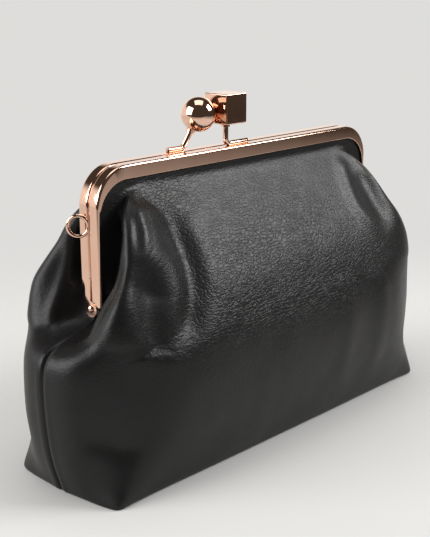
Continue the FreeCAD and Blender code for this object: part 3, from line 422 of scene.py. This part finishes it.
# Folds of the walls. Each has a height in millimetres, negative for a trough, a width or a pair of
# widths in millimetres, and a line of shares across and up the wall.
LIP = ((0.1, 0.835), (0.142, 0.787), (0.212, 0.75), (0.25, 0.711), (0.235, 0.671), (0.207, 0.618),
       (0.195, 0.565), (0.178, 0.509), (0.165, 0.456), (0.125, 0.4), (0.078, 0.346), (0.04, 0.29))
LEG_FOLD = ((0.1, 0.79), (0.15, 0.735), (0.18, 0.69), (0.165, 0.63), (0.145, 0.57), (0.125, 0.51))
SECOND_LIP = ((0.221, 0.821), (0.28, 0.79), (0.311, 0.75), (0.319, 0.71), (0.316, 0.668), (0.31, 0.63))
SECOND_FOLD = ((0.165, 0.814), (0.24, 0.78), (0.281, 0.74), (0.289, 0.7), (0.28, 0.655))
CORNER_PINCH = ((0.12, 0.12), (0.16, 0.115), (0.205, 0.11), (0.25, 0.1), (0.29, 0.085))


def mirrored(line):
    """The same line on the other side of the wall."""
    return tuple((1.0 - across, up) for across, up in line)


BOTH_FOLDS = (
    (1.3, 3.0, LIP), (-2.8, 4.2, LEG_FOLD), (-1.4, 4.2, mirrored(LEG_FOLD)),
    (-2.4, 7.0, CORNER_PINCH), (-2.4, 7.0, mirrored(CORNER_PINCH)),
)
FRONT_FOLDS = BOTH_FOLDS + (
    (0.8, 3.0, SECOND_LIP), (-0.8, 3.0, SECOND_FOLD),
    # Swelling under the left corner, the hollow panel below it, and the step up to the middle
    (3.0, 11.0, ((0.312, 0.82), (0.325, 0.76), (0.331, 0.7), (0.331, 0.64), (0.326, 0.57))),
    (-3.2, (9.0, 11.0), ((0.328, 0.69), (0.332, 0.61), (0.333, 0.54), (0.332, 0.47), (0.328, 0.39),
                         (0.32, 0.3), (0.31, 0.23))),
    (-3.4, (7.0, 7.5), ((0.37, 0.8), (0.38, 0.73), (0.385, 0.67), (0.39, 0.61), (0.39, 0.54), (0.38, 0.47),
                        (0.36, 0.4), (0.33, 0.33))),
    # Ridge, hollow and rim below the right corner
    (1.1, 4.5, ((0.69, 0.86), (0.66, 0.8), (0.648, 0.768), (0.631, 0.715), (0.622, 0.661), (0.622, 0.618),
                (0.63, 0.57), (0.64, 0.52))),
    (-1.5, (7.0, 6.0), ((0.685, 0.755), (0.677, 0.72), (0.67, 0.68), (0.664, 0.64), (0.66, 0.595),
                        (0.66, 0.54))),
    (0.8, 7.0, ((0.75, 0.8), (0.73, 0.72), (0.72, 0.66), (0.715, 0.6), (0.71, 0.52))),
    # Faint drags towards the right base corner
    (0.5, 7.0, ((0.575, 0.33), (0.56, 0.243), (0.55, 0.136), (0.55, 0.04))),
    (0.6, 7.0, ((0.64, 0.33), (0.62, 0.233), (0.604, 0.126), (0.6, 0.04))),
)
REAR_FOLDS = BOTH_FOLDS + (
    # The rear lobe beside the left leg stands out further
    (1.8, 13.0, ((0.24, 0.86), (0.258, 0.78), (0.265, 0.7), (0.267, 0.647), (0.272, 0.59), (0.27, 0.53),
                 (0.262, 0.46))),
    (-1.6, 9.0, ((0.42, 0.8), (0.425, 0.7), (0.41, 0.6), (0.4, 0.5))),
    (1.0, 8.0, ((0.62, 0.82), (0.61, 0.72), (0.62, 0.6), (0.64, 0.48))),
    (-1.4, 8.0, ((0.57, 0.8), (0.565, 0.7), (0.575, 0.6), (0.59, 0.5))),
)


def wall_spots(across, up):
    """Points of the front wall at pairs of shares, in millimetres."""
    net = control_net()
    rows, columns = spline_weights(net.shape[0], up), spline_weights(net.shape[1], across)
    return np.einsum("pi,ijk,pj->pk", rows, net, columns)


def fold_lift(points, folds):
    """Height of all folds at the points of a wall, in millimetres."""
    lift = np.zeros(points.shape[:2])
    share = np.linspace(0.0, 1.0, 64)
    for height, width, line in folds:
        spots = np.array(line)
        keys = np.linspace(0.0, 1.0, len(spots))
        path = wall_spots(np.interp(share, keys, spots[:, 0]), np.interp(share, keys, spots[:, 1]))
        for _ in range(12):
            path[1:-1] = (path[:-2] + 2.0 * path[1:-1] + path[2:]) / 4.0
        far = np.linalg.norm(points[:, :, None, :] - path, axis=3)
        nearest = far.argmin(axis=2)
        place = share[nearest]
        # A pair of widths gives the flank on the left and the one on the right
        left, right = width if isinstance(width, tuple) else (width, width)
        flank = left + (right - left) * smooth_step(points[:, :, 0] - path[nearest][:, :, 0], -1.5, 1.5)
        ends = smooth_step(place, 0.0, 0.3) * (1.0 - smooth_step(place, 0.7, 1.0))
        lift += height * ends * np.exp(-(far.min(axis=2) / flank) ** 2)
    return lift


def even_places(count, along):
    """Shares that space count + 1 lines of the wall fairly evenly, across (1) or up (0)."""
    fine = np.linspace(0.0, 1.0, 400)
    points = wall_points(fine, fine)
    steps = np.linalg.norm(np.diff(points, axis=along), axis=2).mean(axis=1 - along)
    density = 0.75 * steps / steps.mean() + 0.25
    if along == 1:
        # Closer lines at the side seams and round the folds beside the legs
        middle = (fine[1:] + fine[:-1]) / 2.0
        density += 1.6 * np.exp(-(np.minimum(middle, 1.0 - middle) / 0.018) ** 2)
        density += 0.5 * smooth_step(np.abs(middle - 0.5), 0.12, 0.25)
    travelled = np.concatenate([[0.0], np.cumsum(density)])
    return np.interp(np.linspace(0.0, travelled[-1], count + 1), travelled, fine)


def smooth_step(value, low, high):
    """Soft step from 0 at low to 1 at high."""
    share = np.clip((value - low) / (high - low), 0.0, 1.0)
    return share * share * (3.0 - 2.0 * share)


def wall_normals(points):
    """Unit normals of rows of points, away from the inside of the bag."""
    along, up = np.gradient(points, axis=1), np.gradient(points, axis=0)
    normals = np.cross(along, up)
    return normals / np.maximum(np.linalg.norm(normals, axis=2, keepdims=True), 1e-9)


def shaped_wall(columns, rows, rear):
    """Points, inward way and grain of a wall with its seam, hem, folds and slack.

    Both walls are worked out as a front wall, in millimetres."""
    sizes = bpy.context.scene.purse_sizes
    across, up = even_places(columns, 1), even_places(rows, 0)
    points = wall_points(across, up)
    normals = wall_normals(points)
    depth, height = -points[:, :, 1], points[:, :, 2]
    steps = np.linalg.norm(np.diff(points, axis=1), axis=2)
    from_left = np.concatenate([np.zeros((len(points), 1)), np.cumsum(steps, axis=1)], axis=1)
    to_edge = np.minimum(from_left, from_left[:, -1:] - from_left)
    # Nothing moves the leather where the frame and the base hold it
    beside = smooth_step(height, 78.0, 88.0)
    loose = 1.0 - beside + beside * smooth_step(depth, FACE_Y + 0.1, FACE_Y + 2.2)
    loose *= (1.0 - smooth_step(height, 124.0, 138.0)) * smooth_step(height, 1.0, 9.0)
    folds = fold_lift(points, REAR_FOLDS if rear else FRONT_FOLDS)
    slack = np.zeros(height.shape)
    for (r, c), _ in np.ndenumerate(slack):
        place = Vector(points[r, c])
        slack[r, c] = noise.noise(place / 34.0) + 0.5 * noise.noise(place / 15.0)
    lift = loose * (folds + sizes.slack / MM * slack * smooth_step(to_edge, 4.0, 16.0))
    below = 1.0 - smooth_step(height, 66.0, 74.0)
    seam, puff = np.exp(-(to_edge / 0.8) ** 2), np.exp(-((to_edge - 3.0) / 1.6) ** 2)
    lift += below * (0.25 * puff - sizes.seam_groove / MM * seam)
    hem = sizes.hem_round / MM
    under = np.clip(1.0 - height / hem, 0.0, 1.0)
    lift -= hem * (1.0 - np.sqrt(1.0 - under ** 2 * 0.85))
    moved = points + normals * lift[:, :, None]
    # On a fold's steep flank the layer inside has to stay further in to keep its distance
    facing = (normals * wall_normals(moved)).sum(axis=2)
    inward = normals / np.clip(facing, 0.65, 1.0)[:, :, None]
    return moved, inward, wall_grain(moved, folds)


def wall_grain(points, folds):
    """Strength of the grain: full in the middle of the wall, faint where the skin is drawn tight."""
    x, z = points[:, :, 0], points[:, :, 2]
    middle = np.exp(-((x + 8.0) / 72.0) ** 2 - ((z - 88.0) / 34.0) ** 2)
    corner = np.exp(-((x + 66.0) / 26.0) ** 2 - ((z - 126.0) / 14.0) ** 2)
    tight = 0.5 * smooth_step(folds, 0.5, 1.6)
    # The panel beside the left lobe is drawn smooth
    panel = 0.8 * np.exp(-((x + 89.0) / 10.0) ** 2 - ((z - 96.0) / 21.0) ** 2)
    full = np.clip(0.22 + 0.9 * np.maximum(middle, 0.9 * corner), 0.0, 1.0)
    return full * (1.0 - np.maximum(tight, panel))


def wall_grid(name, points, rear):
    """New mesh grid with its vertices on rows of points; a rear one is drawn as a front one and mirrored."""
    rows, columns = points.shape[0] - 1, points.shape[1] - 1
    bpy.ops.object.select_all(action="DESELECT")
    bpy.ops.mesh.primitive_grid_add(x_subdivisions=columns, y_subdivisions=rows, size=2.0)
    wall = bpy.context.active_object
    wall.name = wall.data.name = name
    flat = np.empty(len(wall.data.vertices) * 3, np.float32)
    wall.data.vertices.foreach_get("co", flat)
    flat = flat.reshape(-1, 3)
    column = np.rint((flat[:, 0] + 1.0) / 2.0 * columns).astype(int)
    row = np.rint((flat[:, 1] + 1.0) / 2.0 * rows).astype(int)
    placed = points[row, column] * MM
    if rear:
        placed = placed * np.array([1.0, -1.0, 1.0])
    wall.data.vertices.foreach_set("co", placed.astype(np.float32).ravel())
    wall.data.update()
    if rear:
        select_only(wall)
        bpy.ops.object.mode_set(mode="EDIT")
        bpy.ops.mesh.select_all(action="SELECT")
        bpy.ops.mesh.flip_normals()
        bpy.ops.object.mode_set(mode="OBJECT")
    return wall, row, column


def follow_hinge(piece):
    """Bake a wall's placement into its mesh; the wall is not made to follow the frame halves."""
    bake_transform(piece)


# Camera as solved from the photograph: degrees, metres, and millimetres for lens and sensor
CAMERA_AZIMUTH, CAMERA_ELEVATION = -47.42, 15.32
CAMERA_TARGET, CAMERA_DISTANCE = (-0.01758, 0.0, 0.0843), 0.5486
CAMERA_LENS, SENSOR_WIDTH = 73.26, 36.0
# Each lamp: direction from the purse, power in watts, side of the square in metres
LAMP_AIM = (0.0, 0.0, 0.09)
LAMPS = {
    "overhead_softbox": ((0.02, -0.02, 1.0), 4.0, 0.85),
    "left_softbox": ((-0.84, 0.35, 0.42), 14.0, 0.9),
    "right_softbox": ((0.6, -0.57, 0.56), 12.5, 0.55),
}


class PURSE_OT_stage(bpy.types.Operator):
    """Camera, floor, lamps and the room"""
    bl_idname = "purse.stage"
    bl_label = "Stage"

    def execute(self, context):
        self.camera(context)
        self.floor(context)
        self.lamps(context)
        self.room(context)
        context.scene.view_settings.view_transform = "Standard"
        return {"FINISHED"}

    def camera(self, context):
        azimuth, elevation = math.radians(CAMERA_AZIMUTH), math.radians(CAMERA_ELEVATION)
        towards = Vector((math.sin(azimuth) * math.cos(elevation), -math.cos(azimuth) * math.cos(elevation),
                          math.sin(elevation)))
        bpy.ops.object.camera_add(location=Vector(CAMERA_TARGET) + CAMERA_DISTANCE * towards,
                                  rotation=(-towards).to_track_quat("-Z", "Y").to_euler())
        camera = context.active_object
        camera.name = "photo_camera"
        camera.data.lens, camera.data.sensor_width = CAMERA_LENS, SENSOR_WIDTH
        camera.data.clip_start = 0.01
        context.scene.camera = camera

    def floor(self, context):
        sizes, colours = context.scene.purse_sizes, context.scene.purse_colours
        bpy.ops.object.select_all(action="DESELECT")
        bpy.ops.mesh.primitive_circle_add(vertices=96, radius=sizes.floor_radius, fill_type="NGON")
        floor = context.active_object
        floor.name = "floor"
        material, tree, output = new_material("pale_matt_floor")
        place = add_node(tree, "ShaderNodeTexCoord")
        # Fine tooth of the paper, drawn at 2 mm.
        tooth = add_node(tree, "ShaderNodeTexNoise", {"Scale": 1 / (2 * MM), "Detail": 2.0},
                         {"Vector": place.outputs["Object"]})
        bump = add_node(tree, "ShaderNodeBump", {"Strength": 0.05, "Distance": 0.1 * MM},
                        {"Height": tooth.outputs["Fac"]})
        paper = add_node(tree, "ShaderNodeBsdfPrincipled", {"Base Color": colours.floor, "Roughness": 0.7,
                                                            "Specular IOR Level": 0.2},
                         {"Normal": bump.outputs["Normal"]})
        # Away from the purse the floor turns into the even backdrop, and into a painted reflection for
        # glossy rays.
        away = add_node(tree, "ShaderNodeVectorMath", {"operation": "LENGTH"}, {0: place.outputs["Object"]})
        fade = add_node(tree, "ShaderNodeMapRange", {"interpolation_type": "SMOOTHSTEP", "From Min": 0.2,
                                                     "From Max": 0.44}, {"Value": away.outputs["Value"]})
        # For glossy rays the far floor glows with a painted reflection: pale, with painted shade towards the
        # front and the right.
        side = add_node(tree, "ShaderNodeVectorMath", {"operation": "DOT_PRODUCT", 1: (0.6, -0.8, 0.0)},
                        {0: place.outputs["Object"]})
        front_dim = add_node(tree, "ShaderNodeMapRange", {"From Min": 0.2, "From Max": 1.05},
                             {"Value": side.outputs["Value"]})
        near = add_node(tree, "ShaderNodeVectorMath", {"operation": "DOT_PRODUCT", 1: (-0.737, -0.676, 0.0)},
                        {0: place.outputs["Object"]})
        near_dim = add_node(tree, "ShaderNodeMapRange", {"From Min": 0.35, "From Max": 0.8},
                            {"Value": near.outputs["Value"]})
        dim = add_node(tree, "ShaderNodeMath", {"operation": "MAXIMUM"},
                       {0: front_dim.outputs["Result"], 1: near_dim.outputs["Result"]})
        painted_reflection_tint = add_node(tree, "ShaderNodeMix",
                                 {"data_type": "RGBA", 6: (0.82, 0.8, 0.78, 1.0),
                                  7: (0.05, 0.042, 0.036, 1.0)},
                                 {0: dim.outputs["Value"]})
        path = add_node(tree, "ShaderNodeLightPath")
        tint = add_node(tree, "ShaderNodeMix", {"data_type": "RGBA", 7: colours.backdrop},
                        {0: path.outputs["Is Camera Ray"], 6: painted_reflection_tint.outputs[2]})
        # Glow: the even backdrop for camera rays, the painted reflection with its painted shade for glossy
        # rays.
        glow = add_node(tree, "ShaderNodeEmission", {"Strength": 1.0}, {"Color": tint.outputs[2]})
        seen = self.seen_rays(tree)
        share = add_node(tree, "ShaderNodeMath", {"operation": "MULTIPLY"},
                         {0: fade.outputs["Result"], 1: seen.outputs["Value"]})
        mixed = add_node(tree, "ShaderNodeMixShader", None, {0: share.outputs["Value"],
                                                             1: paper.outputs["BSDF"],
                                                             2: glow.outputs["Emission"]})
        tree.links.new(mixed.outputs["Shader"], output.inputs["Surface"])
        floor.data.materials.append(material)

    def seen_rays(self, tree):
        """Node that is 1 for camera, glossy and transmission rays."""
        path = add_node(tree, "ShaderNodeLightPath")
        first = add_node(tree, "ShaderNodeMath", {"operation": "MAXIMUM"},
                         {0: path.outputs["Is Camera Ray"], 1: path.outputs["Is Glossy Ray"]})
        return add_node(tree, "ShaderNodeMath", {"operation": "MAXIMUM"},
                        {0: first.outputs["Value"], 1: path.outputs["Is Transmission Ray"]})

    def lamps(self, context):
        sizes = context.scene.purse_sizes
        aim = Vector(LAMP_AIM)
        for name, (direction, power, side) in LAMPS.items():
            towards = Vector(direction).normalized()
            bpy.ops.object.light_add(type="AREA", location=aim + sizes.lamp_distance * towards,
                                     rotation=(-towards).to_track_quat("-Z", "Y").to_euler())
            lamp = context.active_object
            lamp.name = name
            lamp.data.shape, lamp.data.size, lamp.data.energy = "SQUARE", side, power
            lamp.visible_camera = False

    def room(self, context):
        """Dim room on the camera's side, pale backdrop behind the purse."""
        colours = context.scene.purse_colours
        world = bpy.data.worlds.new("studio")
        context.scene.world = world
        world.use_nodes = True
        tree = world.node_tree
        tree.nodes.clear()
        place = add_node(tree, "ShaderNodeTexCoord")
        behind = add_node(tree, "ShaderNodeVectorMath", {"operation": "DOT_PRODUCT", 1: (0.3, 0.954, 0.0)},
                          {0: place.outputs["Generated"]})
        share = add_node(tree, "ShaderNodeMapRange", {"interpolation_type": "SMOOTHSTEP", "From Min": 0.2,
                                                      "From Max": 0.4}, {"Value": behind.outputs["Value"]})
        # The backdrop ends at some height, and the room above it is dim.
        level = add_node(tree, "ShaderNodeSeparateXYZ", None, {"Vector": place.outputs["Generated"]})
        under = add_node(tree, "ShaderNodeMapRange", {"interpolation_type": "SMOOTHSTEP", "From Min": 0.36,
                                                      "From Max": 0.56, "To Min": 1.0, "To Max": 0.0},
                         {"Value": level.outputs["Z"]})
        pale = add_node(tree, "ShaderNodeMath", {"operation": "MULTIPLY"},
                        {0: share.outputs["Result"], 1: under.outputs["Result"]})
        tint = add_node(tree, "ShaderNodeMix", {"data_type": "RGBA", 6: (0.06, 0.05, 0.042, 1.0),
                                                7: (1.0, 0.985, 0.96, 1.0)}, {0: pale.outputs["Value"]})
        path = add_node(tree, "ShaderNodeLightPath")
        # Plain fill light from all sides, so that the shadows stay soft and pale.
        filled = add_node(tree, "ShaderNodeMix", {"data_type": "RGBA", 7: (0.62, 0.62, 0.614, 1.0)},
                          {0: path.outputs["Is Diffuse Ray"], 6: tint.outputs[2]})
        direct = add_node(tree, "ShaderNodeMath", {"operation": "MAXIMUM"},
                          {0: path.outputs["Is Camera Ray"], 1: path.outputs["Is Transmission Ray"]})
        seen = add_node(tree, "ShaderNodeMix", {"data_type": "RGBA", 7: colours.backdrop},
                        {0: direct.outputs["Value"], 6: filled.outputs[2]})
        light = add_node(tree, "ShaderNodeBackground", {"Strength": 1.0}, {"Color": seen.outputs[2]})
        output = add_node(tree, "ShaderNodeOutputWorld")
        tree.links.new(light.outputs["Background"], output.inputs["Surface"])


class PURSE_OT_metal(bpy.types.Operator):
    """Polished frame halves, rivets, clasp and strap loops"""
    bl_idname = "purse.metal"
    bl_label = "Metal"

    def execute(self, context):
        plate = rose_gold_plate()
        for body, nodes in (("front_half", ("front_frame", "cube_stem", "cube_collar", "cube_knob")),
                            ("rear_half", ("rear_frame", "ball_stem", "ball_collar", "ball_knob",
                                           "left_hinge_rivet", "right_hinge_rivet", "left_strap_loop",
                                           "right_strap_loop"))):
            for node in nodes:
                self.polished(context, node, body, plate)
        return {"FINISHED"}

    def polished(self, context, node, body, plate):
        """Smooth shaded copy of a metal node, with its triangles joined."""
        piece = bpy.data.objects.new(f"{node}_polished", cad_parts[node].data.copy())
        piece.data.name = piece.name
        context.collection.objects.link(piece)
        select_only(piece)
        bpy.ops.object.mode_set(mode="EDIT")
        bpy.ops.mesh.select_all(action="SELECT")
        bpy.ops.mesh.remove_doubles(threshold=1e-6)
        bpy.ops.object.mode_set(mode="OBJECT")
        smooth_shade(piece, 32)
        apply_modifier(piece, "WEIGHTED_NORMAL", keep_sharp=True)
        dress(piece, plate, body, node)


# Columns and rows of the walls' grids
LEATHER_GRID, LINING_GRID = (270, 160), (200, 120)


class PURSE_OT_leather(bpy.types.Operator):
    """Front and rear leather walls"""
    bl_idname = "purse.leather"
    bl_label = "Leather walls"

    def execute(self, context):
        sizes = context.scene.purse_sizes
        leather = finish("black_nappa_leather", nappa_leather)
        for rear in (False, True):
            side = "rear" if rear else "front"
            points, _, strength = shaped_wall(*LEATHER_GRID, rear)
            wall, row, column = wall_grid(f"{side}_leather_wall", points, rear)
            grain = wall.data.attributes.new("grain", "FLOAT", "POINT")
            grain.data.foreach_set("value", strength[row, column].astype(np.float32))
            apply_modifier(wall, "SOLIDIFY", thickness=sizes.leather, offset=-1.0)
            smooth_shade(wall, 70)
            dress(wall, leather, node=f"{side}_leather")
            follow_hinge(wall)
        return {"FINISHED"}


class PURSE_OT_lining(bpy.types.Operator):
    """Front and rear lining walls"""
    bl_idname = "purse.lining"
    bl_label = "Lining walls"

    def execute(self, context):
        sizes = context.scene.purse_sizes
        cloth = finish("woven_cotton_lining", lining_weave)
        inside = (sizes.leather + sizes.lining_gap) / MM
        for rear in (False, True):
            side = "rear" if rear else "front"
            points, way, _ = shaped_wall(*LINING_GRID, rear)
            points = points - way * inside
            wall, _, _ = wall_grid(f"{side}_lining_wall", points, rear)
            apply_modifier(wall, "SOLIDIFY", thickness=sizes.lining, offset=-1.0)
            smooth_shade(wall, 70)
            dress(wall, cloth, node=f"{side}_lining")
            follow_hinge(wall)
        return {"FINISHED"}


# Layers of the base: insets from the walls' foot and heights of the lower faces, in millimetres
BOTTOM_INSET, BOTTOM_HEIGHT = 1.3, 0.05
COVER_INSET, COVER_HEIGHT = 3.4, 3.02
LAYER_ROWS, LAYER_COLUMNS = 40, 120


class PURSE_OT_base(bpy.types.Operator):
    """Bottom leather, stiffener board and the cloth over it"""
    bl_idname = "purse.base"
    bl_label = "Base"

    def execute(self, context):
        sizes = context.scene.purse_sizes
        leather = finish("black_nappa_leather", nappa_leather)
        cloth = finish("woven_cotton_lining", lining_weave)
        board = pressed_fibre_board()
        bottom = self.layer("base_leather", BOTTOM_INSET, BOTTOM_HEIGHT, sizes.leather)
        grain = bottom.data.attributes.new("grain", "FLOAT", "POINT")
        grain.data.foreach_set("value", np.full(len(bottom.data.vertices), 0.5, np.float32))
        dress(bottom, leather, "bag", "base_panel")
        cover = self.layer("base_cloth", COVER_INSET, COVER_HEIGHT, sizes.lining)
        dress(cover, cloth, "bag", "base_lining")
        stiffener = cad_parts["base_board"]
        stiffener.data.materials.clear()
        stiffener.data.materials.append(board)
        return {"FINISHED"}

    def layer(self, name, inset, height, thickness):
        """Flat sheet with the outline of the walls' foot, moved in by an inset in millimetres."""
        foot = wall_points(even_places(LAYER_COLUMNS, 1), [0.0])[0]
        shrink = np.array([1.0 - inset / BASE_END_X, 1.0 - inset / BASE_FRONT])
        front = foot[:, :2] * shrink
        share = np.linspace(0.0, 1.0, LAYER_ROWS + 1)
        points = np.full((LAYER_ROWS + 1, LAYER_COLUMNS + 1, 3), height)
        for row, place in enumerate(share):
            points[row, :, 0] = front[:, 0]
            points[row, :, 1] = front[:, 1] * (1.0 - 2.0 * place)
        for (r, c), _ in np.ndenumerate(points[:, :, 0]):
            points[r, c, 2] = height + 0.05 * noise.noise(Vector(points[r, c]) / 22.0)
        piece, _, _ = wall_grid(name, points, False)
        apply_modifier(piece, "SOLIDIFY", thickness=thickness, offset=1.0)
        smooth_shade(piece, 60)
        return piece


# Rings along a cord and sides of a ring
CORD_RINGS, CORD_SIDES = 520, 14


class PURSE_OT_cords(bpy.types.Operator):
    """Twisted paper cords that wedge leather and lining in the channels"""
    bl_idname = "purse.cords"
    bl_label = "Channel cords"

    def execute(self, context):
        paper = kraft_paper()
        for side in ("front", "rear"):
            cord = self.twisted(context, f"{side}_twisted_cord", side == "rear")
            dress(cord, paper, f"{side}_half", f"{side}_channel_cord")
        return {"FINISHED"}

    def twisted(self, context, name, rear):
        """Two strands twisted together, along the middle line of the solid's cord."""
        sizes = context.scene.purse_sizes
        low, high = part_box(("rear" if rear else "front") + "_channel_cord")
        low, high = np.array(low) / MM, np.array(high) / MM
        radius = sizes.cord / MM
        width, top, depth = high[0] - radius, high[2] - radius, abs(low[1] + high[1]) / 2
        bend = width - (HALF_FRAME - CORNER_R)
        angles = np.linspace(0.0, math.pi / 2, 40)
        corner = np.column_stack([width - bend + bend * np.cos(angles), top - bend + bend * np.sin(angles)])
        foot = np.array([[width, low[2] + radius]])
        half = np.concatenate([foot, corner])
        line = np.concatenate([half, (half * [-1.0, 1.0])[::-1]])
        steps = np.concatenate([[0.0], np.cumsum(np.linalg.norm(np.diff(line, axis=0), axis=1))])
        along = np.linspace(0.0, steps[-1], CORD_RINGS)
        x, z = np.interp(along, steps, line[:, 0]), np.interp(along, steps, line[:, 1])
        out_x, out_z = -np.gradient(z), np.gradient(x)
        size = np.hypot(out_x, out_z)
        turn = np.linspace(0.0, math.tau, CORD_SIDES + 1)
        twist = along * MM / sizes.cord_pitch * math.tau
        swell = radius * (0.84 + 0.16 * np.cos(2.0 * (turn[None, :] - twist[:, None])))
        outward = swell * np.cos(turn)
        points = np.empty((CORD_RINGS, CORD_SIDES + 1, 3))
        points[:, :, 0] = x[:, None] + (out_x / size)[:, None] * outward
        points[:, :, 1] = -depth + swell * np.sin(turn)
        points[:, :, 2] = z[:, None] + (out_z / size)[:, None] * outward
        cord, _, _ = wall_grid(name, points, rear)
        select_only(cord)
        bpy.ops.object.mode_set(mode="EDIT")
        bpy.ops.mesh.select_all(action="SELECT")
        bpy.ops.mesh.remove_doubles(threshold=1e-6)
        bpy.ops.mesh.fill_holes(sides=20)
        bpy.ops.mesh.normals_make_consistent(inside=False)
        bpy.ops.object.mode_set(mode="OBJECT")
        smooth_shade(cord, 60)
        return cord


class PURSE_PT_panel(bpy.types.Panel):
    """Purse panel of the sidebar"""
    bl_idname = "PURSE_PT_panel"
    bl_label = "Kiss lock frame purse"
    bl_space_type = "VIEW_3D"
    bl_region_type = "UI"
    bl_category = "Purse"

    def draw(self, context):
        for group in (context.scene.purse_sizes, context.scene.purse_colours):
            for name in group.__annotations__:
                self.layout.prop(group, name)
        for operator in OPERATORS:
            self.layout.operator(operator.bl_idname)


OPERATORS = (PURSE_OT_stage, PURSE_OT_metal, PURSE_OT_leather, PURSE_OT_lining, PURSE_OT_base,
             PURSE_OT_cords)
CLASSES = (PurseSizes, PurseColours, *OPERATORS, PURSE_PT_panel)


def register():
    for item in CLASSES:
        bpy.utils.register_class(item)
    bpy.types.Scene.purse_sizes = bpy.props.PointerProperty(type=PurseSizes)
    bpy.types.Scene.purse_colours = bpy.props.PointerProperty(type=PurseColours)


def unregister():
    del bpy.types.Scene.purse_colours
    del bpy.types.Scene.purse_sizes
    for item in reversed(CLASSES):
        bpy.utils.unregister_class(item)


def main():
    """Model and dress the purse."""
    register()
    bpy.ops.purse.stage()
    bpy.ops.purse.metal()
    bpy.ops.purse.leather()
    bpy.ops.purse.lining()
    bpy.ops.purse.base()
    bpy.ops.purse.cords()


if __name__ == "__main__":
    main()
